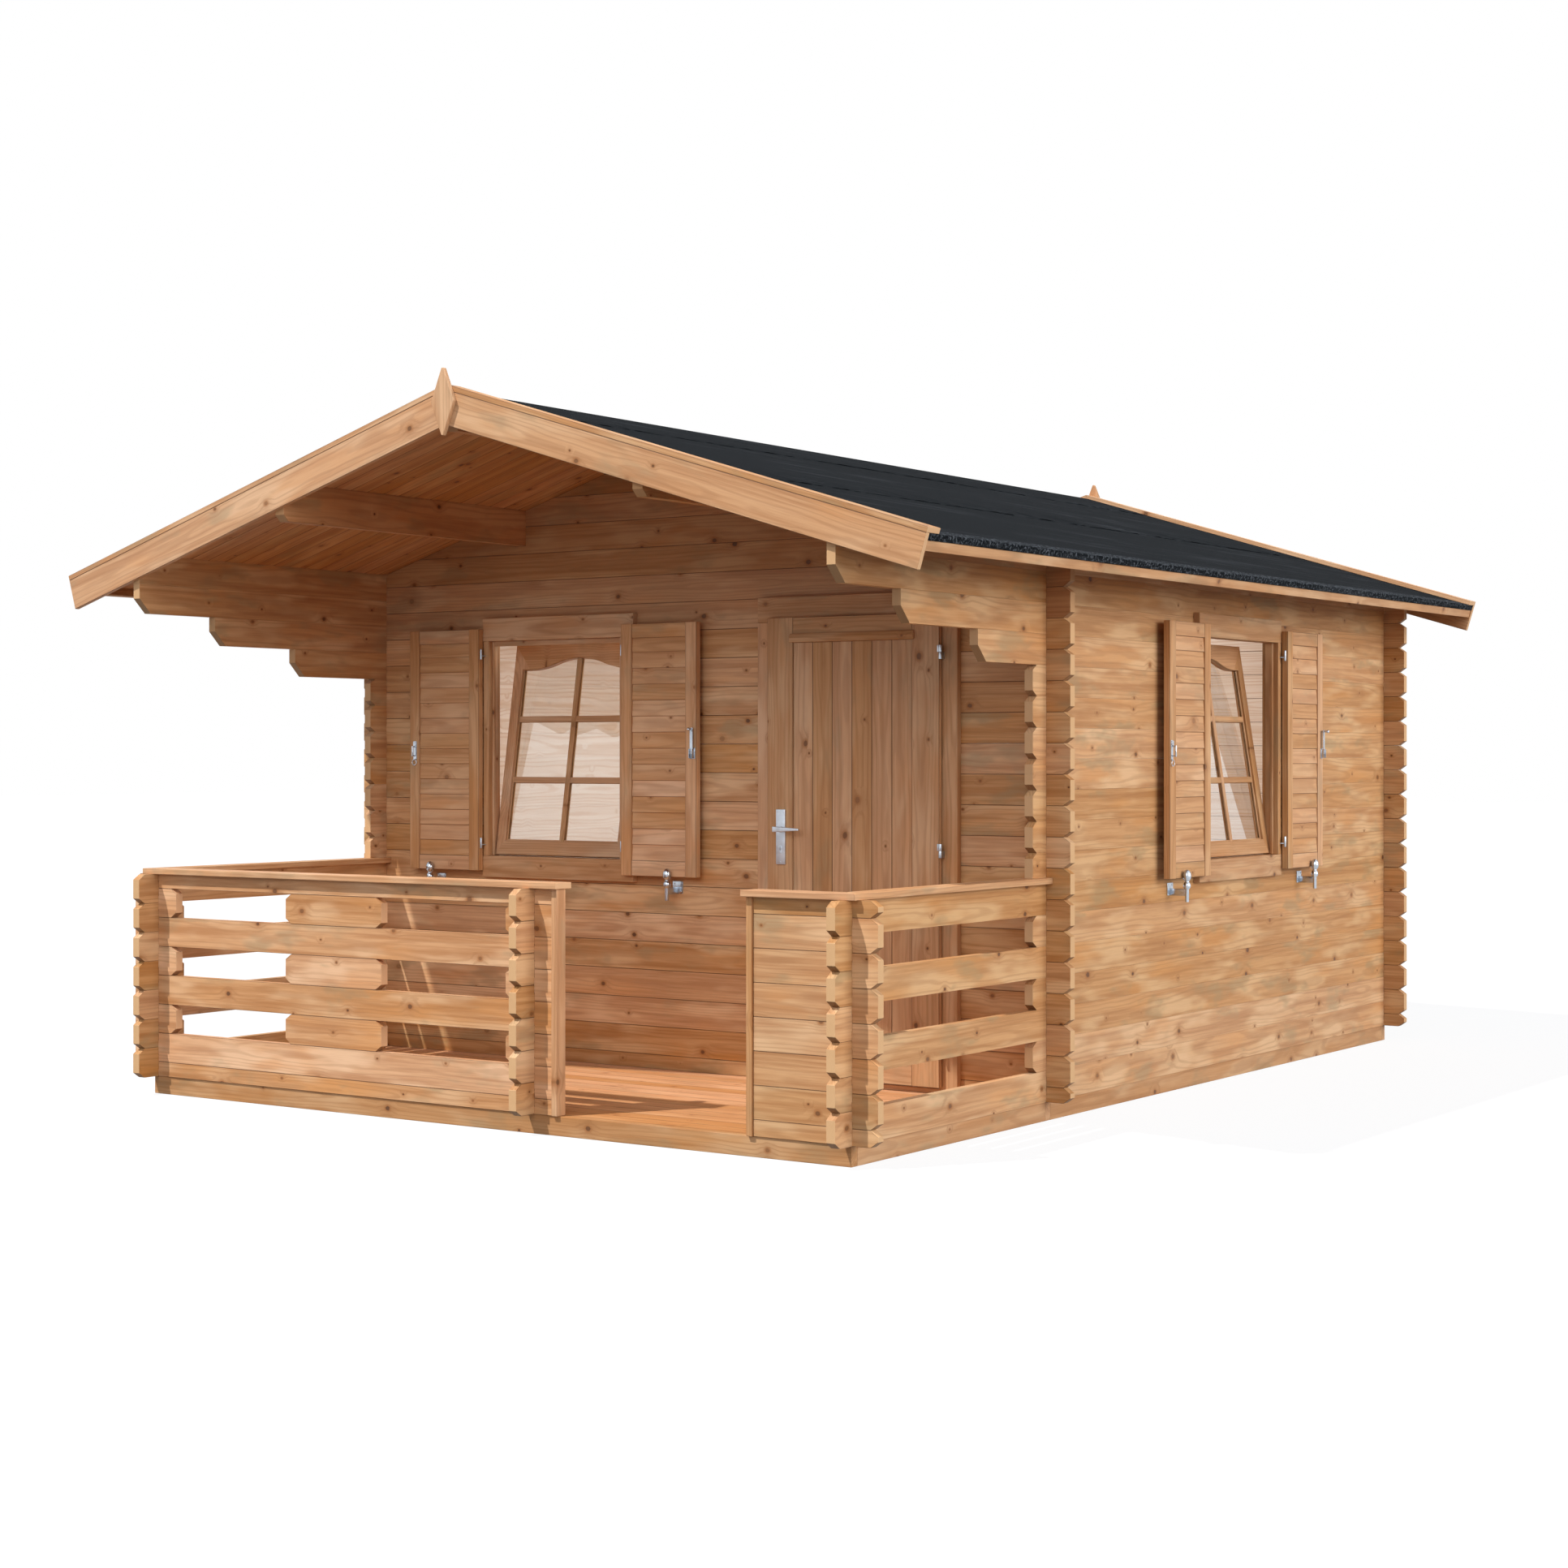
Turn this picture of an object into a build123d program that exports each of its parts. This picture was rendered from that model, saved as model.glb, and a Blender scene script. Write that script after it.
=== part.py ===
"""Garden log cabin: interlocking log walls, an open veranda and a felted gable roof.

Millimetres, +Z up. The veranda gable faces -Y and the origin lies under the middle of the cabin,
at the underside of its bearers.
"""
import os
from math import cos, radians, sin, tan

from build123d import *

# Logs: courses of the side walls start on the bearers, those of the front and rear walls half a course up
course = 114.0
log_t = 34.0
log_gap = 0.4
fit = 0.3
corner_reach = 100.0
end_chamfer = 20.0
side_courses = 18
rail_courses = 7

# Plan
cabin_width = 3300.0
cabin_depth = 3300.0
veranda_depth = 1300.0

# Bearers and floor
bearer_h = 70.0
bearer_t = 36.0
bearer_inset = 6.0
floor_t = 18.0
joist_t = 50.0
joist_count = 5

# Roof
roof_pitch = 16.8
front_overhang = 98.0
rear_overhang = 180.0
eave_overhang = 322.0
roof_board_t = 22.0
felt_t = 6.0
felt_past_eave = 5.0
eave_strip_w = 35.0
eave_strip_drop = 18.0
eave_strip_t = 20.0
barge_w = 120.0
barge_t = 20.0
barge_past_eave = 5.0
cap_w = 78.0
cap_t = 20.0
finial_w = 108.0
finial_h = 241.0
finial_tip = 8.0
finial_t = 18.0
finial_rise = 77.0
purlin_w = 44.0
purlin_h = 140.0
ridge_purlin_h = 115.0
purlin_from_wall = 802.0
purlin_nose = 25.0

# Consoles: the upper side logs run forward under the veranda roof, stepped back from its edge
middle_console_back = 396.0
low_console_back_left = 845.0
low_console_back_right = 905.0

# Veranda rail panels
entry_from_right_wall = 823.0
entry_w = 814.0
jamb_t = 24.0
jamb_w = 50.0
pilaster_back = 107.0
block_w = 494.0
handrail_t = 22.0
handrail_over = 28.0
handrail_past_jamb = 10.0

# Frames of the door and the windows: a lining with a casing outside and inside, which grips the logs
casing_t = 28.0
inner_casing_t = 12.0
lining_t = 20.0

# Door
door_from_right_wall = 814.0
door_clear_w = 750.0
door_clear_top = 1855.0
door_casing_w = 79.0
door_head_w = 97.0
threshold_h = 20.0
door_gap = 6.0
door_face_gap = 5.0
lip_over = 15.0
lip_t = 20.0
leaf_back_t = 23.0
stile_w = 120.0
top_rail_h = 97.0
bottom_rail_h = 170.0
panel_depth = 8.0
plank_count = 6
drip_h = 34.0
drip_out = 12.0
drip_past = 12.0

# Door furniture
lock_back = 67.0
lock_z = 1050.0
lock_plate_w = 42.0
lock_plate_h = 213.0
lock_plate_t = 8.0
lock_plate_drop = 30.0
spindle_r = 8.0
spindle_fit = 0.4
lever_stand = 34.0
lever_reach = 104.0
lever_h = 22.0
lever_tip_h = 12.0
lever_t = 12.0
lever_tail = 16.0
barrel_sides = 12
hinge_r = 7.0
hinge_pin_r = 4.0
hinge_pin_fit = 0.3
hinge_half_h = 26.0
hinge_split = 0.6
hinge_out = 4.0
hinge_side = 8.0
hinge_leaf_t = 3.0
hinge_places = (238.0, 980.0, 1722.0)

# Windows, with their sashes tilted inwards at the top
window_from_left_wall = 995.0
window_from_front_wall = 1650.0
window_clear_w = 700.0
window_clear_low = 912.0
window_courses_under_head = 15
window_casing_w = 30.0
window_head_h = 96.0
window_apron_h = 90.0
window_trim_past = 40.0
sash_gap = 4.0
sash_t = 36.0
sash_tilt = 9.0
sash_stile_w = 45.0
sash_bottom_rail_h = 60.0
sash_top_rail_h = 105.0
sash_arch_rise = 47.0
sash_shoulder = 40.0
glass_t = 4.0

# Shutters, folded open against the wall
shutter_w = 380.0
shutter_meeting = 10.0
shutter_low = 850.0
shutter_h = 1017.0
shutter_t = 28.0
shutter_stand = 30.0
shutter_stile_w = 57.0
shutter_rail_h = 62.0
slat_count = 14
slat_step = 6.0
slat_back = 10.0
shutter_hinge_r = 6.0
shutter_hinge_h = 45.0
shutter_hinge_leaf_t = 2.0
shutter_hinge_places = (966.0, 1765.5)
catch_from_free_edge = 132.0
catch_plate_w = 50.0
catch_plate_h = 50.0
catch_plate_t = 4.0
catch_drop = 44.0
catch_arm_h = 28.0
catch_arm_drop = 12.0
catch_stem_r = 8.0
catch_stem_h = 50.0
catch_head_r = 17.0
catch_head_h = 79.0
catch_sides = 10
catch_clear = 1.0

# One overrun serves every cut
overrun = 50.0

# Values worked out from the sizes above
half_width = cabin_width / 2
inner_half = half_width - log_t
purlin_x = half_width - purlin_from_wall
entry_x = half_width - entry_from_right_wall
door_x = half_width - door_from_right_wall
front_window_x = window_from_left_wall - half_width
pitch = radians(roof_pitch)
slope_len = (half_width + eave_overhang) / cos(pitch)
roof_depth = front_overhang + veranda_depth + cabin_depth + rear_overhang
roof_front = -roof_depth / 2
roof_rear = roof_depth / 2
panel_y = roof_front + front_overhang
cabin_y = panel_y + veranda_depth
rear_y = cabin_y + cabin_depth
wall_base = bearer_h
wall_top = wall_base + side_courses * course
rail_top = wall_base + rail_courses * course
ridge_under = wall_top + inner_half * tan(pitch)
cover_t = roof_board_t + felt_t
ridge_top = ridge_under + cover_t / cos(pitch)
sky_top = ridge_top + finial_h
sky_half = half_width + slope_len
lap_depth = course / 4 + fit
plate_course = side_courses - 1
console_courses = (plate_course - 3, plate_course - 2, plate_course - 1)
open_courses = tuple(range(1, rail_courses, 2))
gable_courses = int((ridge_under - wall_base) / course) + 1
lining_in = log_t + inner_casing_t

os.makedirs("parts", exist_ok=True)


def save(piece, name):
    """Label a finished piece and write it."""
    piece.part.label = name
    export_step(piece.part, f"parts/{name}.step")


def side_low(k):
    """Underside of side wall course k."""
    return wall_base + k * course


def cross_low(j):
    """Underside of course j of the front and rear walls, above their half log."""
    return wall_base + (j + 0.5) * course


def under(x):
    """Height of the roof boards' underside at a distance x from the ridge."""
    return ridge_under - abs(x) * tan(pitch)


def slope_point(along, lift):
    """Point of the right slope: along the boards from the ridge, lifted square to them."""
    return (along * cos(pitch) + lift * sin(pitch), ridge_under - along * sin(pitch) + lift * cos(pitch))


def ridge_point(lift, x=fit):
    """Point of the right slope on the upright cut beside the ridge."""
    return slope_point((x - lift * sin(pitch)) / cos(pitch), lift)


def slope_section(low, high, along):
    """Section of a layer of the right slope, from the ridge down to a square-cut eave."""
    Polygon(ridge_point(low), slope_point(along, low), slope_point(along, high), ridge_point(high), align=None)


def bar(start, end, low, high, start_cuts=(0, 0), end_cuts=(0, 0)):
    """Side of one log; its low and high corners at each end are cut back at 45 degrees."""
    points = []
    for cut, first, second in (
        (start_cuts[0], (start, low + start_cuts[0]), (start + start_cuts[0], low)),
        (end_cuts[0], (end - end_cuts[0], low), (end, low + end_cuts[0])),
        (end_cuts[1], (end, high - end_cuts[1]), (end - end_cuts[1], high)),
        (start_cuts[1], (start + start_cuts[1], high), (start, high - start_cuts[1])),
    ):
        points.append(first)
        if cut > 0:
            points.append(second)
    Polygon(*points, align=None)


def log(start, end, low, courses=1.0, start_cuts=(0, 0), end_cuts=(0, 0)):
    """Side of a wall log that fills its share of a course, less the gap to the next log."""
    bar(start, end, low + log_gap / 2, low + courses * course - log_gap / 2, start_cuts, end_cuts)


def slot(start, end, low, high):
    """Cut a rectangle out of the logs of a sketch."""
    with Locations(((start + end) / 2, (low + high) / 2)):
        Rectangle(end - start, high - low, mode=Mode.SUBTRACT)


def laps(start, boundaries):
    """Cut the lap joints, a quarter of a course deep, on both sides of each course boundary."""
    places = [(start + log_t / 2, z) for z in boundaries]
    with Locations(*places):
        Rectangle(log_t + 2 * fit, 2 * lap_depth, mode=Mode.SUBTRACT)


def sky(mode=Mode.SUBTRACT):
    """Outline of what lies above the roof boards' underside."""
    Polygon(
        (-sky_half, under(sky_half) - fit),
        (0, ridge_under - fit),
        (sky_half, under(sky_half) - fit),
        (sky_half, sky_top),
        (-sky_half, sky_top),
        align=None,
        mode=mode,
    )


def purlin_pockets():
    """Cut the pockets in which a gable carries the ridge purlin and the two side purlins."""
    for x, deep in ((-purlin_x, purlin_h), (0, ridge_purlin_h), (purlin_x, purlin_h)):
        low = under(x) - deep - fit
        slot(x - purlin_w / 2 - fit, x + purlin_w / 2 + fit, low, sky_top)


def cross_plane(y):
    """Upright plane across the cabin, whose logs then reach from y towards the rear."""
    return Plane.XZ.offset(-(y + log_t))


noses = (end_chamfer, end_chamfer)
console_nose = (course / 2, 0)
side_boundaries = [side_low(k) for k in range(side_courses + 1)]
cross_boundaries = [cross_low(j) for j in range(-1, side_courses)]
rail_side_boundaries = side_boundaries[: rail_courses + 1]
window_clear_top = cross_low(window_courses_under_head) - lining_t
side_window_y = cabin_y + window_from_front_wall


# Bearers under every wall, and the joists that carry the floor boards between them
with BuildPart() as bearers:
    with BuildSketch():
        for y in (panel_y + bearer_inset, cabin_y + bearer_inset, rear_y - bearer_inset - bearer_t):
            with Locations((0, y + bearer_t / 2)):
                Rectangle(cabin_width - 2 * bearer_inset, bearer_t)
        for start, end in (
            (panel_y + bearer_inset + bearer_t, cabin_y + bearer_inset),
            (cabin_y + bearer_inset + bearer_t, rear_y - bearer_inset - bearer_t),
        ):
            with Locations((0, (start + end) / 2)):
                with GridLocations(cabin_width - 2 * bearer_inset - bearer_t, 0, 2, 1):
                    Rectangle(bearer_t, end - start - 2 * fit)
    extrude(amount=bearer_h)
save(bearers, "bearers")

joist_pitch = (cabin_width - 2 * bearer_inset - bearer_t) / (joist_count + 1)
veranda_floor_span = (panel_y + bearer_inset + bearer_t + fit, cabin_y + bearer_inset - fit)
cabin_floor_span = (cabin_y + bearer_inset + bearer_t + fit, rear_y - bearer_inset - bearer_t - fit)
floor_w = cabin_width - 2 * (bearer_inset + bearer_t + fit)

with BuildPart() as floor_joists:
    with BuildSketch():
        for start, end in (veranda_floor_span, cabin_floor_span):
            with Locations((0, (start + end) / 2)):
                with GridLocations(joist_pitch, 0, joist_count, 1):
                    Rectangle(joist_t, end - start)
    extrude(amount=bearer_h - floor_t)
save(floor_joists, "floor_joists")

for floor_name, (start, end) in (("veranda_floor", veranda_floor_span), ("cabin_floor", cabin_floor_span)):
    with BuildPart() as floor:
        with BuildSketch(Plane.XY.offset(bearer_h - floor_t)):
            with Locations((0, (start + end) / 2)):
                Rectangle(floor_w, end - start)
        extrude(amount=floor_t)
    save(floor, floor_name)


# Side walls: low courses run on as the veranda's rails, high ones as its stepped consoles
def side_wall(low_console_back, inner_x, window):
    """Side wall whose logs lie between inner_x and inner_x + log_t."""
    console_backs = (low_console_back, middle_console_back, 0)
    with BuildPart() as wall:
        with BuildSketch(Plane.YZ.offset(inner_x)):
            for k in range(side_courses):
                start, cuts = cabin_y - corner_reach, noses
                if k < rail_courses and k not in open_courses:
                    start = panel_y - corner_reach
                elif k in console_courses:
                    start = roof_front + fit + console_backs[console_courses.index(k)]
                    cuts = console_nose
                elif k == plate_course:
                    start, cuts = roof_front + fit, (0, 0)
                log(start, rear_y + corner_reach, side_low(k), 1, cuts, noses)
            for y in (cabin_y, rear_y - log_t):
                laps(y, side_boundaries)
            laps(panel_y, rail_side_boundaries)
            slot(cabin_y - corner_reach - overrun, cabin_y, rail_top - log_gap, rail_top + handrail_t + fit)
            if window:
                half = window_clear_w / 2 + lining_t + fit
                low, high = window_clear_low - lining_t - fit, window_clear_top + lining_t
                slot(side_window_y - half, side_window_y + half, low, high)
        extrude(amount=log_t)
        with BuildSketch(Plane.XZ.offset(-roof_rear - overrun)):
            sky(Mode.ADD)
        extrude(amount=roof_depth + 2 * overrun, mode=Mode.SUBTRACT)
    return wall


save(side_wall(low_console_back_left, -half_width, False), "left_wall")
save(side_wall(low_console_back_right, inner_half, True), "right_wall")

with BuildPart() as rail_stubs:
    for inner_x in (-half_width, inner_half):
        with BuildSketch(Plane.YZ.offset(inner_x)):
            for k in open_courses:
                log(panel_y - corner_reach, panel_y + log_t + corner_reach, side_low(k), 1, noses, noses)
            laps(panel_y, rail_side_boundaries)
        extrude(amount=log_t)
save(rail_stubs, "veranda_rail_stubs")


# Front and rear walls of the cabin, half a course above the side walls' courses
def cross_wall(y, courses, start, end, start_cuts, end_cuts, half_log, openings=(), gable=False):
    """Courses of a wall across the cabin, with their laps and the openings (x, width, low, high) cut."""
    with BuildPart() as wall:
        with BuildSketch(cross_plane(y)):
            if half_log:
                log(start, end, wall_base, 0.5, start_cuts, end_cuts)
            for j in courses:
                log(start, end, cross_low(j), 1, start_cuts, end_cuts)
            laps(-half_width, cross_boundaries)
            laps(inner_half, cross_boundaries)
            for x, width, low, high in openings:
                slot(x - width / 2, x + width / 2, low, high)
            if gable:
                purlin_pockets()
                sky()
        extrude(amount=log_t)
    return wall


wall_end = half_width + corner_reach
door_cut_w = door_clear_w + 2 * (lining_t + fit)
door_cut_top = door_clear_top + lining_t + fit
door_cut = (door_x, door_cut_w, wall_base - overrun, door_cut_top)
window_cut_w = window_clear_w + 2 * (lining_t + fit)
window_cut = (front_window_x, window_cut_w, window_clear_low - lining_t - fit, window_clear_top + lining_t)
beside_door = range(window_courses_under_head)
over_door = range(window_courses_under_head, gable_courses)

left_of_door = door_x - door_cut_w / 2
right_of_door = door_x + door_cut_w / 2
square = (0, 0)
front_left = cross_wall(cabin_y, beside_door, -wall_end, left_of_door, noses, square, True, (window_cut,))
save(front_left, "front_wall_left")
save(cross_wall(cabin_y, beside_door, right_of_door, wall_end, square, noses, True), "front_wall_right")
front_gable = cross_wall(cabin_y, over_door, -wall_end, wall_end, noses, noses, False, (door_cut,), True)
save(front_gable, "front_gable")
rear_courses = range(plate_course)
save(cross_wall(rear_y - log_t, rear_courses, -wall_end, wall_end, noses, noses, True), "rear_wall")
rear_gable_courses = range(plate_course, gable_courses)
rear_gable = cross_wall(rear_y - log_t, rear_gable_courses, -wall_end, wall_end, noses, noses, False, (), True)
save(rear_gable, "rear_gable")


# Veranda front: an open panel with a pilaster left of the entry, a closed panel right of it
entry_left = entry_x - entry_w / 2
entry_right = entry_x + entry_w / 2
left_panel_end = entry_left - jamb_t - fit
pilaster_x = entry_left - pilaster_back - log_t
closed_rows = range(rail_courses - 1)
bottom_half, top_half = wall_base, rail_top - course / 2

with BuildPart() as front_left_panel:
    with BuildSketch(cross_plane(panel_y)):
        for low in (bottom_half, top_half):
            log(-wall_end, left_panel_end, low, 0.5, noses, square)
        for j in closed_rows:
            if j in open_courses:
                gap_start = -inner_half + corner_reach
                gap_end = pilaster_x - corner_reach
                middle = (gap_start + gap_end) / 2
                log(-wall_end, gap_start, cross_low(j), 1, noses, noses)
                log(middle - block_w / 2, middle + block_w / 2, cross_low(j), 1, noses, noses)
                log(gap_end, left_panel_end, cross_low(j), 1, noses, square)
            else:
                log(-wall_end, left_panel_end, cross_low(j), 1, noses, square)
        laps(-half_width, cross_boundaries)
        laps(pilaster_x, cross_boundaries)
    extrude(amount=log_t)
save(front_left_panel, "veranda_front_left_panel")

with BuildPart() as front_right_panel:
    with BuildSketch(cross_plane(panel_y)):
        for low in (bottom_half, top_half):
            log(entry_right + jamb_t + fit, wall_end, low, 0.5, square, noses)
        for j in closed_rows:
            log(entry_right + jamb_t + fit, wall_end, cross_low(j), 1, square, noses)
        laps(inner_half, cross_boundaries)
    extrude(amount=log_t)
save(front_right_panel, "veranda_front_right_panel")

with BuildPart() as pilaster:
    with BuildSketch(Plane.YZ.offset(pilaster_x)):
        for k in range(rail_courses):
            log(panel_y - corner_reach, panel_y + log_t + corner_reach, side_low(k), 1, noses, noses)
        laps(panel_y, rail_side_boundaries)
    extrude(amount=log_t)
save(pilaster, "veranda_pilaster")

with BuildPart() as jamb_boards:
    with BuildSketch(Plane.XY.offset(wall_base)):
        for x in (entry_left - jamb_t / 2, entry_right + jamb_t / 2):
            with Locations((x, panel_y + log_t / 2)):
                Rectangle(jamb_t, jamb_w)
    extrude(amount=rail_top - wall_base)
save(jamb_boards, "entry_jamb_boards")

rail_out_x, rail_in_x = half_width + handrail_over, inner_half - handrail_over
rail_out_y, rail_in_y = panel_y - handrail_over, panel_y + log_t + handrail_over
rail_stop = cabin_y - fit
for handrail_name, side, end in (
    ("handrail_left", -1, entry_left + handrail_past_jamb),
    ("handrail_right", 1, entry_right - handrail_past_jamb),
):
    with BuildPart() as handrail:
        with BuildSketch(Plane.XY.offset(rail_top)):
            outer, inner = side * rail_out_x, side * rail_in_x
            step = side * log_gap
            Polygon((outer - step, rail_out_y), (end, rail_out_y), (end, rail_in_y), (inner - step, rail_in_y),
                    align=None)
            Polygon((outer, rail_out_y + fit), (inner, rail_in_y + fit), (inner, rail_stop), (outer, rail_stop),
                    align=None)
        extrude(amount=handrail_t)
    save(handrail, handrail_name)


# Roof: purlins in the gables, boards from eave to ridge, felt, eave strips, barge boards and finials
roof_plane = Plane.XZ.offset(-roof_rear)


def purlin(x, deep):
    """Purlin under the roof boards at a distance x from the ridge, with its lower corners cut back at both ends."""
    nose = (purlin_nose, 0)
    with BuildPart() as beam:
        with BuildSketch(Plane.YZ.offset(x - purlin_w / 2)):
            bar(roof_front, roof_rear, under(x) - deep, sky_top, nose, nose)
        extrude(amount=purlin_w)
        with BuildSketch(Plane.XZ.offset(-roof_rear - overrun)):
            sky(Mode.ADD)
        extrude(amount=roof_depth + 2 * overrun, mode=Mode.SUBTRACT)
    return beam


save(purlin(0, ridge_purlin_h), "ridge_purlin")

right_purlin = purlin(purlin_x, purlin_h)
with BuildPart() as side_purlins:
    add(right_purlin.part)
    mirror(about=Plane.YZ)
save(side_purlins, "side_purlins")

with BuildPart() as roof_boards_right:
    with BuildSketch(roof_plane):
        slope_section(0, roof_board_t, slope_len)
    extrude(amount=roof_depth)
save(roof_boards_right, "roof_boards_right")

with BuildPart() as roof_boards_left:
    mirror(roof_boards_right.part, about=Plane.YZ)
save(roof_boards_left, "roof_boards_left")

# Eave strips close the ends of the boards; the felt laps over the edge and is turned down onto them
strip_top = roof_board_t - eave_strip_drop
strip_low, strip_end = strip_top - eave_strip_w, slope_len + eave_strip_t
felt_end = strip_end + felt_past_eave
flap_start, flap_low = felt_end - felt_t, strip_top + fit

with BuildPart() as eave_strips:
    with BuildSketch(roof_plane):
        Polygon(slope_point(slope_len, strip_low), slope_point(strip_end, strip_low),
                slope_point(strip_end, strip_top), slope_point(slope_len, strip_top), align=None)
        mirror(about=Plane.YZ)
    extrude(amount=roof_depth)
save(eave_strips, "eave_strips")

with BuildPart() as roof_felt_right:
    with BuildSketch(roof_plane):
        Polygon(ridge_point(roof_board_t), slope_point(flap_start, roof_board_t), slope_point(flap_start, flap_low),
                slope_point(felt_end, flap_low), slope_point(felt_end, cover_t), ridge_point(cover_t), align=None)
    extrude(amount=roof_depth)
save(roof_felt_right, "roof_felt_right")

with BuildPart() as roof_felt_left:
    mirror(roof_felt_right.part, about=Plane.YZ)
save(roof_felt_left, "roof_felt_left")

barge_len = slope_len + eave_strip_t + barge_past_eave

with BuildPart() as front_barge_boards:
    with BuildSketch(Plane.XZ.offset(-roof_front)):
        slope_section(cover_t - barge_w, cover_t, barge_len)
        mirror(about=Plane.YZ)
    extrude(amount=barge_t)
save(front_barge_boards, "front_barge_boards")

with BuildPart() as rear_barge_boards:
    mirror(front_barge_boards.part, about=Plane.XZ)
save(rear_barge_boards, "rear_barge_boards")

with BuildPart() as barge_caps:
    with BuildSketch(Plane.XZ.offset(-(roof_front - barge_t + cap_w))):
        slope_section(cover_t, cover_t + cap_t, barge_len)
        mirror(about=Plane.YZ)
    extrude(amount=cap_w)
    mirror(about=Plane.XZ)
save(barge_caps, "barge_caps")

finial_top = ridge_top + finial_rise
with BuildPart() as finials:
    with BuildSketch(Plane.XZ.offset(-(roof_front - barge_t))):
        tip, wide = finial_tip / 2, finial_w / 2
        low, middle = finial_top - finial_h, finial_top - finial_h / 2
        Polygon((-tip, low), (tip, low), (wide, middle), (tip, finial_top), (-tip, finial_top), (-wide, middle),
                align=None)
    extrude(amount=finial_t)
    mirror(about=Plane.XZ)
save(finials, "finials")


# Door: the frame grips the logs; the rebated leaf closes on the casing and opens onto the veranda
door_plane = Plane((door_x, cabin_y, 0), x_dir=(1, 0, 0), z_dir=(0, -1, 0))
threshold_top = wall_base + threshold_h
casing_half = door_clear_w / 2 + door_casing_w
lining_half = door_clear_w / 2 + lining_t


def upright(half, low, high):
    """Rectangle about the middle of an opening."""
    with Locations((0, (low + high) / 2)):
        Rectangle(2 * half, high - low)


def clear(half, low, high):
    """Cut the same rectangle away."""
    with Locations((0, (low + high) / 2)):
        Rectangle(2 * half, high - low, mode=Mode.SUBTRACT)


with BuildPart() as door_frame:
    with BuildSketch(door_plane.offset(-lining_in)):
        upright(casing_half, wall_base, door_clear_top + door_head_w)
        clear(door_clear_w / 2, wall_base - overrun, door_clear_top)
    extrude(amount=inner_casing_t)
    with BuildSketch(door_plane.offset(-lining_in)):
        upright(lining_half, wall_base, door_clear_top + lining_t)
        clear(door_clear_w / 2, wall_base - overrun, door_clear_top)
    extrude(amount=lining_in)
    with BuildSketch(door_plane):
        upright(casing_half, wall_base, door_clear_top + door_head_w)
        clear(door_clear_w / 2, wall_base - overrun, door_clear_top)
    extrude(amount=casing_t)
save(door_frame, "door_frame")

with BuildPart() as threshold:
    with BuildSketch(door_plane.offset(-lining_in)):
        upright(door_clear_w / 2 - fit, wall_base, threshold_top)
    extrude(amount=lining_in + casing_t)
save(threshold, "door_threshold")

lip_back = casing_t + door_face_gap
leaf_face = lip_back + lip_t
lip_half = door_clear_w / 2 + lip_over
lip_low, lip_top = threshold_top + door_gap, door_clear_top + lip_over
back_half, back_top = door_clear_w / 2 - door_gap, door_clear_top - door_gap
panel_half = lip_half - stile_w
panel_low, panel_top = lip_low + bottom_rail_h, lip_top - top_rail_h
lock_x = lock_back - lip_half

with BuildPart() as door_leaf:
    with BuildSketch(door_plane.offset(lip_back)):
        upright(lip_half, lip_low, lip_top)
    extrude(amount=lip_t)
    with BuildSketch(door_plane.offset(lip_back - leaf_back_t)):
        upright(back_half, lip_low, back_top)
    extrude(amount=leaf_back_t)
    with BuildSketch(door_plane.offset(leaf_face - panel_depth)):
        upright(panel_half, panel_low, panel_top)
    extrude(amount=panel_depth, mode=Mode.SUBTRACT)
    with BuildSketch(door_plane.offset(lip_back - leaf_back_t)):
        with Locations((lock_x, lock_z)):
            Circle(spindle_r + spindle_fit)
    extrude(amount=leaf_back_t + lip_t, mode=Mode.SUBTRACT)
save(door_leaf, "door_leaf")

plank_w = (2 * panel_half - (plank_count + 1) * fit) / plank_count
with BuildPart() as door_planks:
    with BuildSketch(door_plane.offset(leaf_face - panel_depth)):
        with Locations((0, (panel_low + panel_top) / 2)):
            with GridLocations(plank_w + fit, 0, plank_count, 1):
                Rectangle(plank_w, panel_top - panel_low - 2 * fit)
    extrude(amount=panel_depth / 2)
save(door_planks, "door_planks")

with BuildPart() as drip_rail:
    with BuildSketch(Plane((door_x + panel_half + drip_past, cabin_y - leaf_face, panel_top),
                           x_dir=(0, -1, 0), z_dir=(-1, 0, 0))):
        Polygon((0, 0), (0, drip_h), (drip_out / 2, drip_h), (drip_out, drip_h / 2), (drip_out, 0), align=None)
    extrude(amount=2 * (panel_half + drip_past))
save(drip_rail, "door_drip_rail")

with BuildPart() as lock_plates:
    for start in (leaf_face, lip_back - leaf_back_t - lock_plate_t):
        with BuildSketch(door_plane.offset(start)):
            with Locations((lock_x, lock_z - lock_plate_drop)):
                Rectangle(lock_plate_w, lock_plate_h)
            with Locations((lock_x, lock_z)):
                Circle(spindle_r + spindle_fit, mode=Mode.SUBTRACT)
        extrude(amount=lock_plate_t)
save(lock_plates, "door_lock_plates")

lever_out = leaf_face + lock_plate_t + lever_stand
lever_in = lip_back - leaf_back_t - lock_plate_t - lever_stand
with BuildPart() as lever:
    with BuildSketch(door_plane.offset(lever_in)):
        with Locations((lock_x, lock_z)):
            Circle(spindle_r)
    extrude(amount=lever_out - lever_in)
    for start in (lever_out - lever_t, lever_in):
        with BuildSketch(door_plane.offset(start)):
            Polygon((lock_x - lever_tail, lock_z - lever_h / 2),
                    (lock_x, lock_z - lever_h / 2),
                    (lock_x + lever_reach, lock_z - lever_tip_h / 2),
                    (lock_x + lever_reach, lock_z + lever_tip_h / 2),
                    (lock_x, lock_z + lever_h / 2),
                    (lock_x - lever_tail, lock_z + lever_h / 2), align=None)
        extrude(amount=lever_t)
save(lever, "door_lever")

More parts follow.
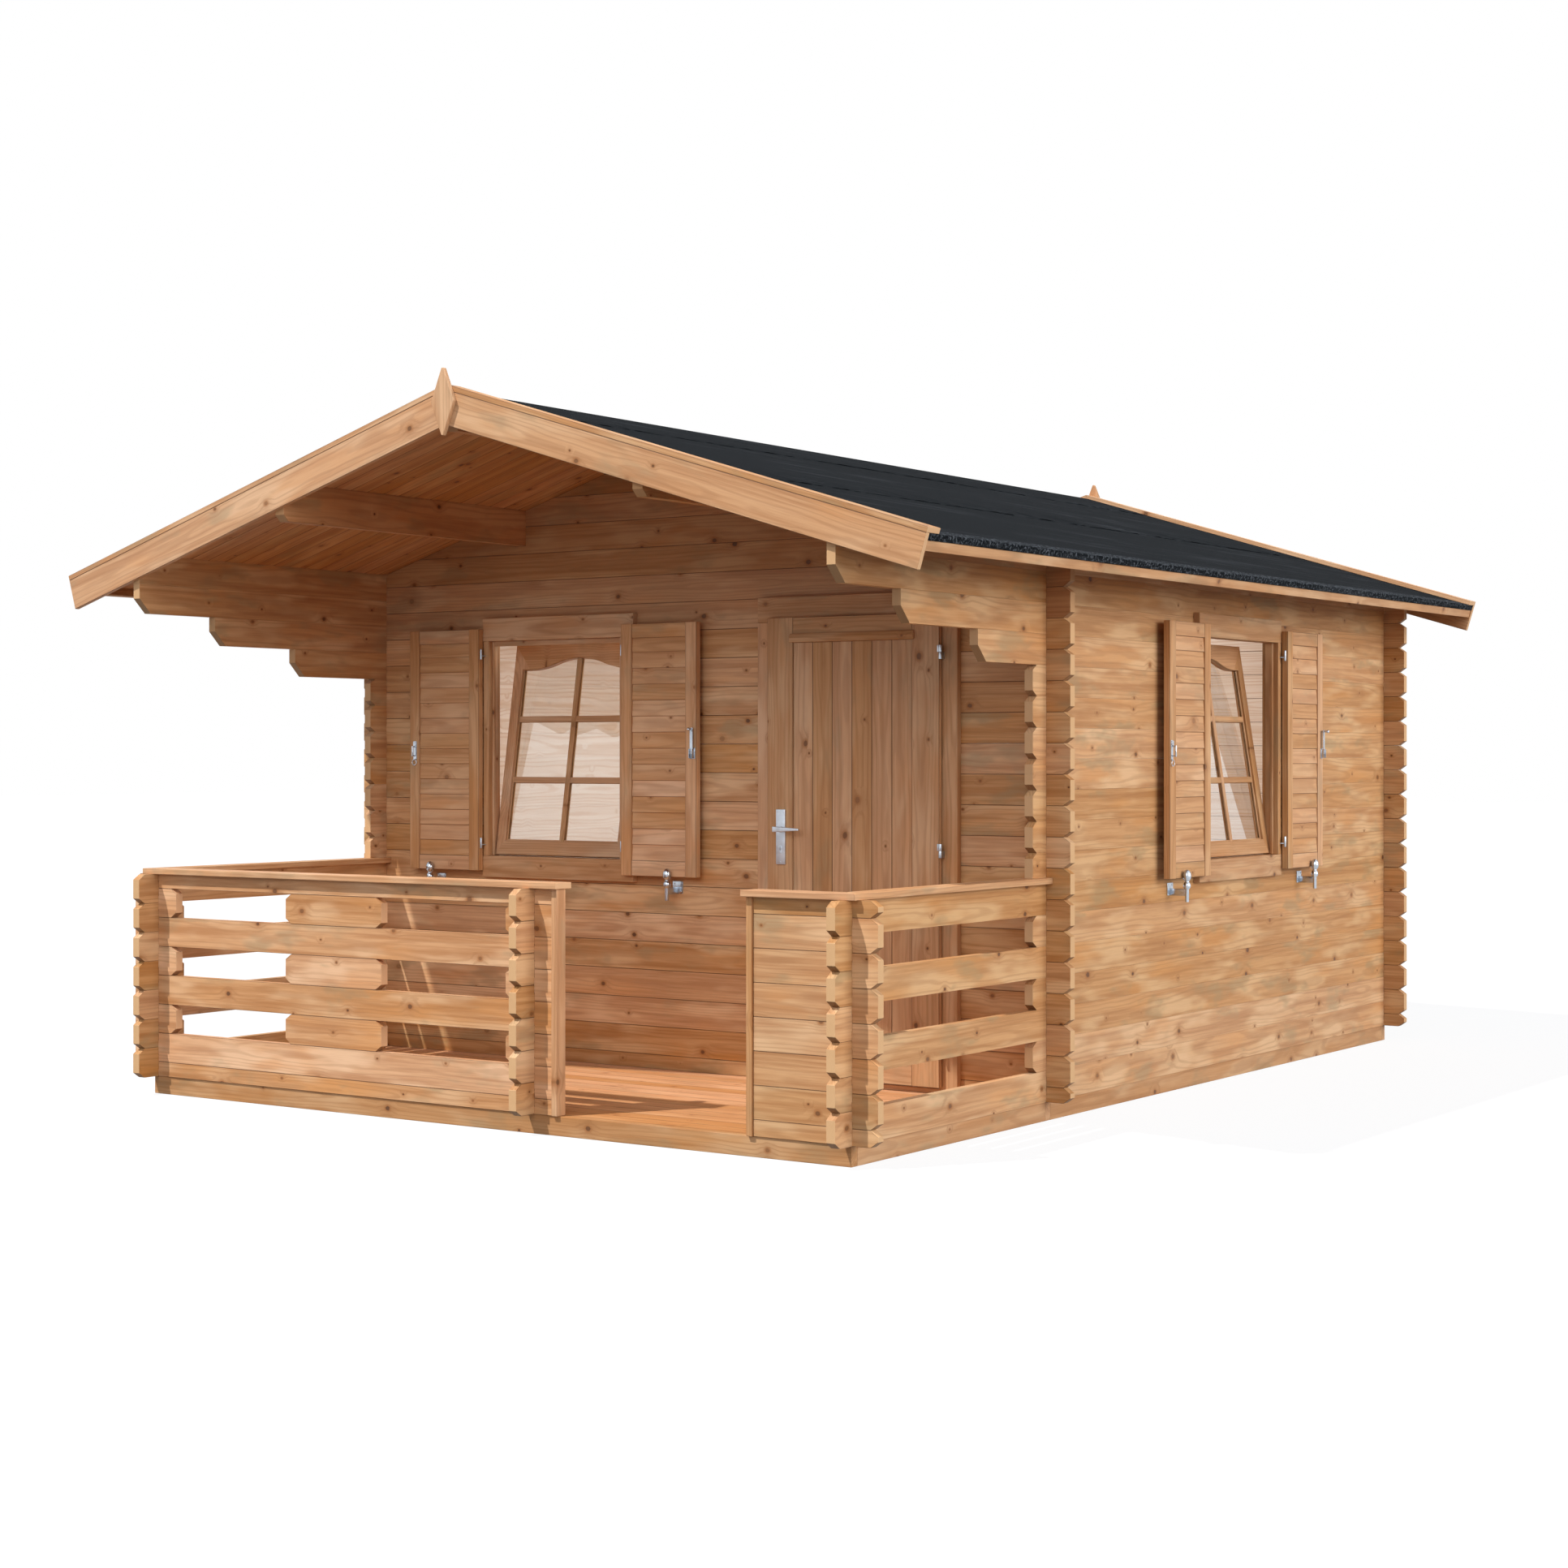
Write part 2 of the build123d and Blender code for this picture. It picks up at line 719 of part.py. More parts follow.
# Lift-off hinges: pins on the casing carry the knuckles of the leaf
hinge_x = door_x + lip_half + hinge_side
hinge_y = cabin_y - leaf_face - hinge_out

with BuildPart() as hinge_pins:
    for z in hinge_places:
        with BuildSketch(Plane.XY.offset(z - hinge_half_h)):
            with Locations((hinge_x, hinge_y)):
                RegularPolygon(hinge_r, barrel_sides)
            with Locations((hinge_x, (hinge_y + cabin_y - casing_t) / 2)):
                Rectangle(hinge_leaf_t, cabin_y - casing_t - hinge_y)
        extrude(amount=hinge_half_h - hinge_split / 2)
        with BuildSketch(Plane.XY.offset(z - hinge_half_h)):
            with Locations((hinge_x, hinge_y)):
                Circle(hinge_pin_r)
        extrude(amount=2 * hinge_half_h - hinge_split)
save(hinge_pins, "door_hinge_pins")

with BuildPart() as hinge_knuckles:
    for z in hinge_places:
        with BuildSketch(Plane.XY.offset(z + hinge_split / 2)):
            with Locations((hinge_x, hinge_y)):
                RegularPolygon(hinge_r, barrel_sides)
            with Locations((hinge_x - (hinge_side + hinge_r) / 2, hinge_y + hinge_out - hinge_leaf_t / 2)):
                Rectangle(hinge_side + hinge_r, hinge_leaf_t)
            with Locations((hinge_x, hinge_y)):
                Circle(hinge_pin_r + hinge_pin_fit, mode=Mode.SUBTRACT)
        extrude(amount=hinge_half_h - hinge_split / 2)
save(hinge_knuckles, "door_hinge_knuckles")


# Windows: framed like the door, each with an arched sash, its glass and a pair of shutters
window_walls = (
    Plane((front_window_x, cabin_y, 0), x_dir=(1, 0, 0), z_dir=(0, -1, 0)),
    Plane((half_width, side_window_y, 0), x_dir=(0, 1, 0), z_dir=(1, 0, 0)),
)
window_half = window_clear_w / 2
casing_out = window_half + window_casing_w


with BuildPart() as window_frames:
    for wall in window_walls:
        with BuildSketch(wall.offset(-lining_in)):
            upright(casing_out, window_clear_low - window_casing_w, window_clear_top + window_casing_w)
            clear(window_half, window_clear_low, window_clear_top)
        extrude(amount=inner_casing_t)
        with BuildSketch(wall.offset(-lining_in)):
            upright(window_half + lining_t, window_clear_low - lining_t, window_clear_top + lining_t - fit)
            clear(window_half, window_clear_low, window_clear_top)
        extrude(amount=lining_in)
        with BuildSketch(wall):
            upright(casing_out, window_clear_low, window_clear_top)
            upright(casing_out + window_trim_past, window_clear_top, window_clear_top + window_head_h)
            upright(casing_out + window_trim_past, window_clear_low - window_apron_h, window_clear_low)
            clear(window_half, window_clear_low, window_clear_top)
        extrude(amount=casing_t)
save(window_frames, "window_frames")

# Sashes tilt inwards about their lower inner edge; each pane has an arched head between two shoulders
sash_half = window_half - sash_gap
sash_h = window_clear_top - window_clear_low - 2 * sash_gap
pane_half = sash_half - sash_stile_w
pane_low, pane_spring = sash_bottom_rail_h, sash_h - sash_top_rail_h
pane_crown = pane_spring + sash_arch_rise
arch_half = pane_half - sash_shoulder


def sash_plane(wall):
    """Inner face of a tilted sash."""
    tilt = radians(sash_tilt)
    hinge_line = wall.from_local_coords((0, window_clear_low + fit, -lining_in))
    return Plane(hinge_line, x_dir=wall.x_dir, z_dir=wall.z_dir * cos(tilt) + wall.y_dir * sin(tilt))


def pane_edges(inset):
    """Edges of a pane, set in from the opening of its sash."""
    half, low, spring, crown = pane_half - inset, pane_low + inset, pane_spring - inset, pane_crown - inset
    turn = (spring + crown) / 2
    Polyline((-arch_half, spring), (-half, spring), (-half, low), (half, low), (half, spring), (arch_half, spring))
    rise_right = TangentArc((arch_half, spring), (arch_half / 2, turn), tangent=(-1, 0))
    TangentArc(rise_right @ 1, (0, crown), tangent=rise_right % 1)
    rise_left = TangentArc((-arch_half, spring), (-arch_half / 2, turn), tangent=(1, 0))
    TangentArc(rise_left @ 1, (0, crown), tangent=rise_left % 1)


with BuildPart() as window_sashes:
    for wall in window_walls:
        with BuildSketch(sash_plane(wall)):
            upright(sash_half, 0, sash_h)
            with BuildLine():
                pane_edges(0)
            make_face(mode=Mode.SUBTRACT)
        extrude(amount=sash_t)
save(window_sashes, "window_sashes")

with BuildPart() as window_glass:
    for wall in window_walls:
        with BuildSketch(sash_plane(wall).offset((sash_t - glass_t) / 2)):
            with BuildLine():
                pane_edges(fit)
            make_face()
        extrude(amount=glass_t)
save(window_glass, "window_glass")

# Shutters folded back from the casings, each a frame round overlapping slats; the left of a pair is wider
shutter_spans = (
    (-casing_out - shutter_w - shutter_meeting, -casing_out),
    (casing_out, casing_out + shutter_w),
)
slats_low = shutter_low + shutter_rail_h
slats_high = shutter_low + shutter_h - shutter_rail_h
slat_h = (slats_high - slats_low) / slat_count
shutter_face = shutter_stand + shutter_t
slat_foot = shutter_face - slat_step / 2
slat_head = slat_foot - slat_step
slats_back = shutter_stand + slat_back

with BuildPart() as shutters:
    for wall in window_walls:
        for start, end in shutter_spans:
            slats_end = end - shutter_stile_w
            slats_w = end - start - 2 * shutter_stile_w
            with BuildSketch(wall.offset(shutter_stand)):
                with Locations(((start + end) / 2, shutter_low + shutter_h / 2)):
                    Rectangle(end - start, shutter_h)
                    Rectangle(slats_w, slats_high - slats_low, mode=Mode.SUBTRACT)
            extrude(amount=shutter_t)
            section = Plane(wall.from_local_coords((slats_end, 0, 0)), x_dir=wall.z_dir, z_dir=-wall.x_dir)
            with BuildSketch(section):
                teeth = [(slats_back, slats_low)]
                for i in range(slat_count):
                    teeth.append((slat_foot, slats_low + i * slat_h))
                    teeth.append((slat_head, slats_low + (i + 1) * slat_h))
                Polygon(*teeth, (slats_back, slats_high), align=None)
            extrude(amount=slats_w)
save(shutters, "shutters")

# Shutter hinges: a barrel between a leaf on the casing's face and a leaf on the shutter's edge
barrel_x = casing_out - shutter_hinge_r - shutter_hinge_leaf_t
barrel_out = casing_t + shutter_hinge_r + shutter_hinge_leaf_t / 2
edge_leaf_x = casing_out - shutter_hinge_leaf_t / 2

with BuildPart() as shutter_hinges:
    for wall in window_walls:
        for z in shutter_hinge_places:
            low_end = wall.from_local_coords((0, z - shutter_hinge_h / 2, 0))
            with BuildSketch(Plane(low_end, x_dir=wall.x_dir, z_dir=wall.y_dir)):
                for side in (-1, 1):
                    with Locations((side * barrel_x, -barrel_out)):
                        RegularPolygon(shutter_hinge_r, barrel_sides)
                    with Locations((side * barrel_x, -casing_t - shutter_hinge_leaf_t / 2)):
                        Rectangle(2 * shutter_hinge_r, shutter_hinge_leaf_t)
                    with Locations((side * edge_leaf_x, -(barrel_out + shutter_face) / 2)):
                        Rectangle(shutter_hinge_leaf_t, shutter_face - barrel_out)
                    with Locations((side * (barrel_x + edge_leaf_x) / 2, -barrel_out)):
                        Rectangle(casing_out - barrel_x, shutter_hinge_leaf_t)
            extrude(amount=shutter_hinge_h)
save(shutter_hinges, "shutter_hinges")

# Turning catches hold the open shutters: a wall plate, a flat arm, and a stem with shoulders and a round head
catch_z = shutter_low - catch_drop
catch_out = shutter_face + catch_clear + catch_head_r
catch_turned_shares = (
    (0.0, 0.47),
    (0.08, 0.76),
    (0.2, 0.88),
    (0.38, 0.47),
    (0.48, 0.82),
    (0.68, 1.0),
    (0.88, 0.76),
    (1.0, 0.3),
)

with BuildPart() as shutter_catches:
    for wall in window_walls:
        for x in (shutter_spans[0][0] + catch_from_free_edge, shutter_spans[1][1] - catch_from_free_edge):
            with BuildSketch(wall):
                with Locations((x, catch_z)):
                    Rectangle(catch_plate_w, catch_plate_h)
            extrude(amount=catch_plate_t)
            with BuildSketch(wall):
                with Locations((x, catch_z - catch_arm_drop)):
                    Rectangle(catch_plate_t, catch_arm_h)
            extrude(amount=catch_out)
            foot = wall.from_local_coords((x, catch_z - catch_stem_h, catch_out))
            stem = Plane(foot, x_dir=wall.x_dir, z_dir=wall.y_dir)
            with BuildSketch(stem):
                RegularPolygon(catch_stem_r, catch_sides)
            extrude(amount=catch_stem_h)
            for height_share, radius_share in catch_turned_shares:
                with BuildSketch(stem.offset(catch_stem_h + height_share * catch_head_h)):
                    RegularPolygon(radius_share * catch_head_r, catch_sides)
            loft(ruled=True)
save(shutter_catches, "shutter_catches")
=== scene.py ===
"""Garden log cabin with a veranda: boards, felt, door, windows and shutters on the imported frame."""

import math
import random

import bmesh
import bpy
import numpy as np
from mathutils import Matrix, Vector


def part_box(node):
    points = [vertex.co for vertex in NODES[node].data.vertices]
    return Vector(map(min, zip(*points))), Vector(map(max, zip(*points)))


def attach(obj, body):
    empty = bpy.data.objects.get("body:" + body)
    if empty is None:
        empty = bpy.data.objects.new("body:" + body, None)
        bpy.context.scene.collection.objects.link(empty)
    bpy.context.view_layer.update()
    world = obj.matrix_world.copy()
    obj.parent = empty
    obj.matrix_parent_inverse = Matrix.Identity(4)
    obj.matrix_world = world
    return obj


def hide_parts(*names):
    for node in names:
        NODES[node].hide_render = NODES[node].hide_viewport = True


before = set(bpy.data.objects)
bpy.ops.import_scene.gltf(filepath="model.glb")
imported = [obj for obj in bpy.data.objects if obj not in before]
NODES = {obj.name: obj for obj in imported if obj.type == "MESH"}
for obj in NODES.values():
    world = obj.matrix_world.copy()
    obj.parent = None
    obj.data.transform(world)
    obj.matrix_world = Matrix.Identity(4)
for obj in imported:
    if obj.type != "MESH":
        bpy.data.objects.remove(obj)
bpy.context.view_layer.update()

bl_info = {
    "name": "Log Cabin",
    "version": (1, 0, 0),
    "blender": (4, 5, 0),
    "location": "View3D > Sidebar > Cabin",
    "description": "Dresses a garden log cabin with boards, felt, glass and ironmongery",
    "category": "Object",
}

MM = 0.001
UP = Vector((0, 0, 1))

# Lean of the sashes, pitch and ridge of the roof boards, and the chamfer at the end of a log
TILT = math.radians(9)
PITCH = math.radians(16.8)
RIDGE = 2.6099
NOSE = 0.020

# Outer faces of the cabin's walls, and the planes past which a face lies in the room
CABIN_FRONT = -1.041
SIDE = 1.650
ROOM_SIDE = (1.622, 1.620)
ROOM_FRONT = (-1.013, -1.010)
ROOM_REAR = (2.232, 2.229)

# Two points of a CAD mesh are one within this reach, and two faces are flat within this angle
MERGE = 2e-6
FLAT = math.radians(0.6)


def length(name, text, default):
    """A length in metres that a user may change."""
    return bpy.props.FloatProperty(name=name, description=text, default=default, unit="LENGTH", precision=4)


def colour(name, text, default):
    """A linear colour that a user may change."""
    return bpy.props.FloatVectorProperty(name=name, description=text, default=default, subtype="COLOR",
                                         size=3, min=0, max=1)


class CabinSizes(bpy.types.PropertyGroup):
    """Sizes of the boards and edges."""
    log_edge: length("Log edge", "Rounding of a log's long edges", 0.0013)
    trim_edge: length("Trim edge", "Rounding of planed boards", 0.0020)
    floor_board: length("Floor board", "Width that one floor board covers", 0.0903)
    roof_board: length("Roof board", "Width that one roof board covers", 0.0903)
    board_gap: length("Board gap", "Open joint between two boards", 0.0012)
    glazing_bar: length("Glazing bar", "Width of the bars on the glass", 0.025)
    nose_depth: length("Nose depth", "How far the chamfer at a log's end runs in", 0.0290)
    felt_ply: length("Felt ply", "Thickness of one strip of roof felt", 0.0016)


class CabinColours(bpy.types.PropertyGroup):
    """Colours of the finishes."""
    pine_pale: colour("Pine, pale", "Early wood and the pale clouds", (0.72, 0.450, 0.245))
    pine_warm: colour("Pine, warm", "Main tone of the planed pine", (0.62, 0.335, 0.155))
    pine_deep: colour("Pine, deep", "Late wood and streaks", (0.42, 0.185, 0.068))
    pine_olive: colour("Pine, olive", "Grey-green clouds in the sapwood", (0.37, 0.250, 0.130))
    pine_amber: colour("Pine, amber", "Resinous patches", (0.66, 0.295, 0.095))
    # The inner face is near-white: partly the paler untreated wood, partly painted light for the bright room
    # seen through the windows
    pine_indoor_and_room_light: colour("Pine, indoors", "Untreated inner face of the logs", (0.80, 0.73, 0.65))
    end_grain: colour("End grain", "Sawn ends of the logs", (0.66, 0.400, 0.210))
    knot: colour("Knot", "Heart of a knot", (0.085, 0.032, 0.012))
    knot_rim: colour("Knot rim", "Resin round a knot", (0.36, 0.135, 0.040))
    felt: colour("Felt", "Bitumen between the granules", (0.006, 0.0075, 0.009))
    granule: colour("Granule", "Mineral granules on the felt", (0.040, 0.044, 0.049))
    steel: colour("Steel", "Satin fittings", (0.60, 0.65, 0.72))


# Shader maths

class Wire:
    """A socket of a node tree. Sums on it add Math nodes."""

    def __init__(self, tree, socket=None):
        self.tree = tree
        self.socket = socket

    def node(self, kind, settings, sockets, output=0):
        """Adds a node of any kind: settings first, then the values or links of its sockets."""
        node = self.tree.nodes.new("ShaderNode" + kind)
        for key, value in settings.items():
            setattr(node, key, value)
        for key, value in sockets.items():
            if isinstance(value, Wire):
                self.tree.links.new(value.socket, node.inputs[key])
            else:
                node.inputs[key].default_value = value
        return Wire(self.tree, node.outputs[output])

    def math(self, operation, first, second=0.0):
        """A Math node on one or two values."""
        return self.node("Math", {"operation": operation}, {0: first, 1: second})

    def __add__(self, other):
        return self.math("ADD", self, other)

    def __radd__(self, other):
        return self.math("ADD", other, self)

    def __sub__(self, other):
        return self.math("SUBTRACT", self, other)

    def __rsub__(self, other):
        return self.math("SUBTRACT", other, self)

    def __mul__(self, other):
        return self.math("MULTIPLY", self, other)

    def __rmul__(self, other):
        return self.math("MULTIPLY", other, self)

    def __truediv__(self, other):
        return self.math("DIVIDE", self, other)

    def scaled(self, *factors):
        """This vector, multiplied axis by axis."""
        return self.node("VectorMath", {"operation": "MULTIPLY"}, {0: self, 1: factors})

    def noise(self, *factors, detail=2.0, rough=0.5):
        """Noise on this vector, stretched axis by axis."""
        sockets = {"Vector": self.scaled(*factors), "Scale": 1.0, "Detail": detail, "Roughness": rough}
        return self.node("TexNoise", {"noise_dimensions": "3D"}, sockets)

    def step(self, low, high, to_low=0.0, to_high=1.0):
        """A smooth step of this value from low to high."""
        return self.node("MapRange", {"interpolation_type": "SMOOTHSTEP"},
                         {0: self, 1: low, 2: high, 3: to_low, 4: to_high})

    def part(self, number):
        """One part of this vector."""
        return self.node("SeparateXYZ", {}, {0: self}, number)

    def mix(self, first, second):
        """Mixes two colours by this value."""
        return self.node("Mix", {"data_type": "RGBA"}, {0: self, 6: first, 7: second}, 2)


def opaque(shade, gain=1.0):
    """A property's colour with full alpha, made lighter or darker."""
    return (*(channel * gain for channel in shade), 1)


def finish(name):
    """A new material, a wire to start from, and its shader."""
    made = bpy.data.materials.new(name)
    made.use_nodes = True
    tree = made.node_tree
    return made, Wire(tree), tree.nodes["Principled BSDF"]


def object_place(wire):
    """The place on the piece, in metres."""
    return wire.node("TexCoord", {}, {}, 3)


def feed(shader, socket, wire):
    """Links a wire to a socket of the shader."""
    wire.tree.links.new(wire.socket, shader.inputs[socket])


# Pine: the cell for one knot, how many cells have one, a knot's stretch and radii, and the year rings
KNOT_CELL = (0.34, 0.085)
KNOT_CHANCE = (0.58, 0.60)
KNOT_STRETCH_SHARE = 0.8
KNOT_RADIUS, KNOT_GROWTH = 0.0035, 0.0080
YEAR_RING = 0.0105


def pine(name, gain=1.0, warmth=1.0, blush=1.0, knots=1.0, figure=0.7, seams_and_shade=0.0, sawn=0.9, raw_and_lit_indoors=False):
    """Planed pine that reads the grain laid on each board."""
    tints = bpy.context.scene.cabin_colours
    made, wire, shader = finish(name)
    grain = wire.node("Attribute", {"attribute_name": "grain"}, {}, 1)
    tone, ends, seam = (wire.node("Attribute", {"attribute_name": key}, {}, 2)
                        for key in ("tone", "ends", "seam"))
    across, depth = grain.part(1), grain.part(2)

    # Knots: one chance in each cell of a long lattice, with their size measured on the board
    cell_long, cell_wide = KNOT_CELL
    lattice = grain.scaled(1 / cell_long, 1 / cell_wide, 0)
    cells = {"voronoi_dimensions": "2D", "feature": "F1"}
    spread = {"Vector": lattice, "Scale": 1.0, "Randomness": 0.9}
    middle = wire.node("TexVoronoi", cells, spread, 2)
    draw = wire.node("TexVoronoi", cells, spread, 1)
    away = wire.node("VectorMath", {"operation": "SUBTRACT"}, {0: lattice, 1: middle})
    away = away.scaled(cell_long * KNOT_STRETCH_SHARE, cell_wide, 0)
    reach = wire.node("VectorMath", {"operation": "LENGTH"}, {0: away}, 1)
    chance, girth, heart = (wire.node("SeparateColor", {}, {0: draw}, channel) for channel in range(3))
    there = chance.step(*KNOT_CHANCE)
    radius = KNOT_RADIUS + KNOT_GROWTH * girth * girth
    ragged = grain.noise(60, 160, 160, detail=3.0)
    share = reach * (0.72 + 0.56 * ragged) / radius
    knot = share.step(1.15, 0.70) * there
    rim = share.step(2.3, 0.9) * there
    halo = share.step(6.0, 1.0) * there

    # Year rings that bend round the knots, and noise stretched along the board
    bend = grain.noise(1.1, 5, 5)
    swirl = grain.noise(6, 22, 22)
    ring = wire.math("SQRT", across * across + depth * depth) + bend * 0.05 + swirl * 0.006 + halo * 0.008
    late = wire.math("SINE", ring * (2 * math.pi / YEAR_RING)).step(0.1, 1.0)
    streak = grain.noise(1.2, 34, 34, detail=5.0, rough=0.66)
    cloud = grain.noise(2.6, 10, 10, rough=0.55)
    shade = grain.noise(3.1, 8.5, 8.7, detail=3.0, rough=0.6)
    resin = grain.noise(1.9, 7.1, 7.3)
    fibre = grain.noise(9, 420, 420, rough=0.6)

    def tint(shade_of, dim=1.0):
        """A colour of the pine with this finish's warmth."""
        red, green, blue = shade_of
        return opaque((red, green / blush, blue / warmth), gain * dim)

    base = streak.step(0.34, 0.64, 1 - figure, 1.0).mix(tint(tints.pine_deep), tint(tints.pine_warm))
    base = (resin.step(0.50, 0.72) * (0.60 * figure)).mix(base, tint(tints.pine_amber))
    base = (cloud.step(0.46, 0.68) * (0.95 * figure)).mix(base, tint(tints.pine_pale))
    base = (shade.step(0.54, 0.70) * (0.75 * figure)).mix(base, tint(tints.pine_olive))
    base = (late * 0.30).mix(base, tint(tints.pine_deep, 0.82))
    base = (fibre.step(0.45, 0.75) * 0.22).mix(base, tint(tints.pine_deep))
    base = wire.node("HueSaturation", {}, {"Hue": 0.5, "Saturation": 1.05 - 0.12 * tone,
                                           "Value": 0.91 + 0.18 * tone, "Color": base})
    base = (halo * (0.30 * knots)).mix(base, tint(tints.pine_deep, 0.8))
    base = (rim * (0.70 * knots)).mix(base, tint(tints.knot_rim))
    base = (knot * (heart * 0.55 + 0.40) * knots).mix(base, tint(tints.knot))
    # Inside the room the logs turn near-white: partly untreated wood, partly painted light standing in for
    # the lit room
    if raw_and_lit_indoors:
        place = object_place(wire)
        x, y = place.part(0), place.part(1)
        indoors = wire.math("ABSOLUTE", x).step(*ROOM_SIDE) * y.step(*ROOM_FRONT) * y.step(*ROOM_REAR)
        drawn = late * 0.30 + streak.step(0.62, 0.40) * 0.25
        planed = drawn.mix(opaque(tints.pine_indoor_and_room_light), opaque(tints.pine_pale, 0.8))
        base = (indoors * 0.90).mix(base, planed)
    base = (ends * sawn).mix(base, tint(tints.end_grain))
    # Dark lines on the rounded edges at the joints, partly the dark joint itself and partly painted shade in
    # the grooves, and painted shade on the undersides of the sawn ends
    base = (seam * seams_and_shade).mix(base, tint(tints.pine_deep, 0.22))
    feed(shader, "Base Color", base)
    feed(shader, "Roughness", 0.55 + 0.12 * streak - 0.10 * knot)
    height = late * 0.25 + fibre * 0.45 + streak * 0.5 - knot * 0.5
    feed(shader, "Normal", wire.node("Bump", {}, {"Strength": 0.22, "Distance": 0.0012, "Height": height}))
    shader.inputs["Specular IOR Level"].default_value = 0.3
    return made


# Felt: the turn of its streaks, and the band at the eaves with coarse chips
STREAK_TURN = math.radians(5)
CHIP_BAND = (1.925, 1.945)


def felt(name):
    """Bitumen felt with fine mineral granules, wind-blown streaks and coarse chips at the eaves."""
    tints = bpy.context.scene.cabin_colours
    made, wire, shader = finish(name)
    place = object_place(wire)
    speck = place.noise(420, 420, 420, rough=0.7)
    grit = place.noise(150, 150, 150, detail=3.0, rough=0.7)
    turned = wire.node("VectorRotate", {"rotation_type": "Z_AXIS"}, {"Vector": place, "Angle": STREAK_TURN})
    streak = turned.noise(16, 0.7, 16, detail=4.0, rough=0.65)
    patch = place.noise(1.7, 1.7, 1.7, detail=3.0)
    stone = speck.step(0.55, 0.72)
    base = (stone * 0.42 + grit.step(0.52, 0.75) * 0.30).mix(opaque(tints.felt), opaque(tints.granule))
    base = (streak.step(0.52, 0.68) * patch.step(0.30, 0.60) * 0.60).mix(base, opaque(tints.granule, 0.9))
    side = wire.math("ABSOLUTE", place.part(0))
    chips = place.noise(95, 95, 95, detail=4.0, rough=0.75).step(0.50, 0.62)
    base = (side.step(*CHIP_BAND) * chips * 0.85).mix(base, opaque(tints.granule, 3.0))
    feed(shader, "Base Color", base)
    feed(shader, "Roughness", 0.85 + 0.15 * speck)
    height = speck + grit
    feed(shader, "Normal", wire.node("Bump", {}, {"Strength": 0.6, "Distance": 0.002, "Height": height}))
    shader.inputs["Specular IOR Level"].default_value = 0.03
    return made


def steel(name, gain, rough):
    """Satin steel with a fine brushed cloud."""
    tints = bpy.context.scene.cabin_colours
    made, wire, shader = finish(name)
    place = object_place(wire)
    brushed = place.noise(40, 40, 600, detail=3.0)
    cloud = place.noise(30, 30, 30).step(0.3, 0.7)
    feed(shader, "Base Color", cloud.mix(opaque(tints.steel, gain * 0.9), opaque(tints.steel, gain * 1.1)))
    feed(shader, "Roughness", rough + 0.14 * brushed)
    shader.inputs["Metallic"].default_value = 1.0
    return made


def painted_hole_shade(name):
    """Painted shade for the inside of a keyhole or screw slot: a near-black finish standing in for the shadow
    in the hole.
    """
    made, wire, shader = finish(name)
    # A near-black with a faint mottle, painted as the shadow inside the hole
    shade_mottle = object_place(wire).noise(300, 300, 300)
    feed(shader, "Base Color", shade_mottle.mix((0.012, 0.012, 0.013, 1), (0.03, 0.03, 0.032, 1)))
    shader.inputs["Roughness"].default_value = 0.5
    return made


def clear_glass(name):
    """Float glass with a breath of unevenness."""
    made, wire, shader = finish(name)
    shader.inputs["Base Color"].default_value = (0.97, 0.985, 0.98, 1)
    shader.inputs["Transmission Weight"].default_value = 1.0
    shader.inputs["IOR"].default_value = 1.9
    feed(shader, "Roughness", object_place(wire).noise(3, 3, 3) * 0.02)
    return made


FINISHES = {
    "log_wood": (pine, dict(warmth=1.07, figure=0.85, seams_and_shade=0.75, raw_and_lit_indoors=True)),
    "trim_wood": (pine, dict(knots=0.9)),
    "barge_wood": (pine, dict(knots=0.9, seams_and_shade=0.6)),
    "panel_wood": (pine, dict(gain=1.11, warmth=0.97, figure=0.85, seams_and_shade=0.75)),
    # Painted shade: the front gable under the roof's overhang gets a darker, redder copy of the log pine
    "gable_wood": (pine, dict(gain=0.82, warmth=1.25, blush=1.08, seams_and_shade=0.6)),
    # Painted shade: the soffit boards and purlins get a redder, darker pine for the deep shade under the roof
    "roof_wood": (pine, dict(gain=0.95, warmth=1.35, blush=1.12, seams_and_shade=0.5)),
    "floor_wood": (pine, dict(gain=1.02, warmth=1.25, blush=1.12, knots=0.5, figure=0.4, seams_and_shade=0.6)),
    "bearer_wood": (pine, dict(gain=0.95, sawn=0.0)),
    "frame_wood": (pine, dict(gain=0.93, knots=0.8)),
    "door_wood": (pine, dict(gain=0.88, warmth=1.05, knots=0.9, figure=0.6, seams_and_shade=0.6)),
    "shutter_wood": (pine, dict(gain=1.03, knots=0.8, figure=0.6, seams_and_shade=0.5)),
    "roof_felt": (felt, {}),
    "lock_metal": (steel, dict(gain=0.95, rough=0.36)),
    "hinge_metal": (steel, dict(gain=0.78, rough=0.30)),
    "catch_metal": (steel, dict(gain=0.82, rough=0.16)),
    # Painted shade inside the keyhole
    "slot_dark": (painted_hole_shade, {}),
    "window_glass": (clear_glass, {}),
}
PAINTS = {}


def paint(name):
    """The finish of that name, mixed once."""
    if name not in PAINTS:
        maker, settings = FINISHES[name]
        PAINTS[name] = maker(name, **settings)
    return PAINTS[name]


# Hand tools

def put_down():
    """Object mode with nothing selected."""
    if bpy.context.mode != "OBJECT":
        bpy.ops.object.mode_set(mode="OBJECT")
    bpy.ops.object.select_all(action="DESELECT")


def take(piece):
    """Makes one piece the selected and active one."""
    put_down()
    piece.select_set(True)
    bpy.context.view_layer.objects.active = piece
    return piece


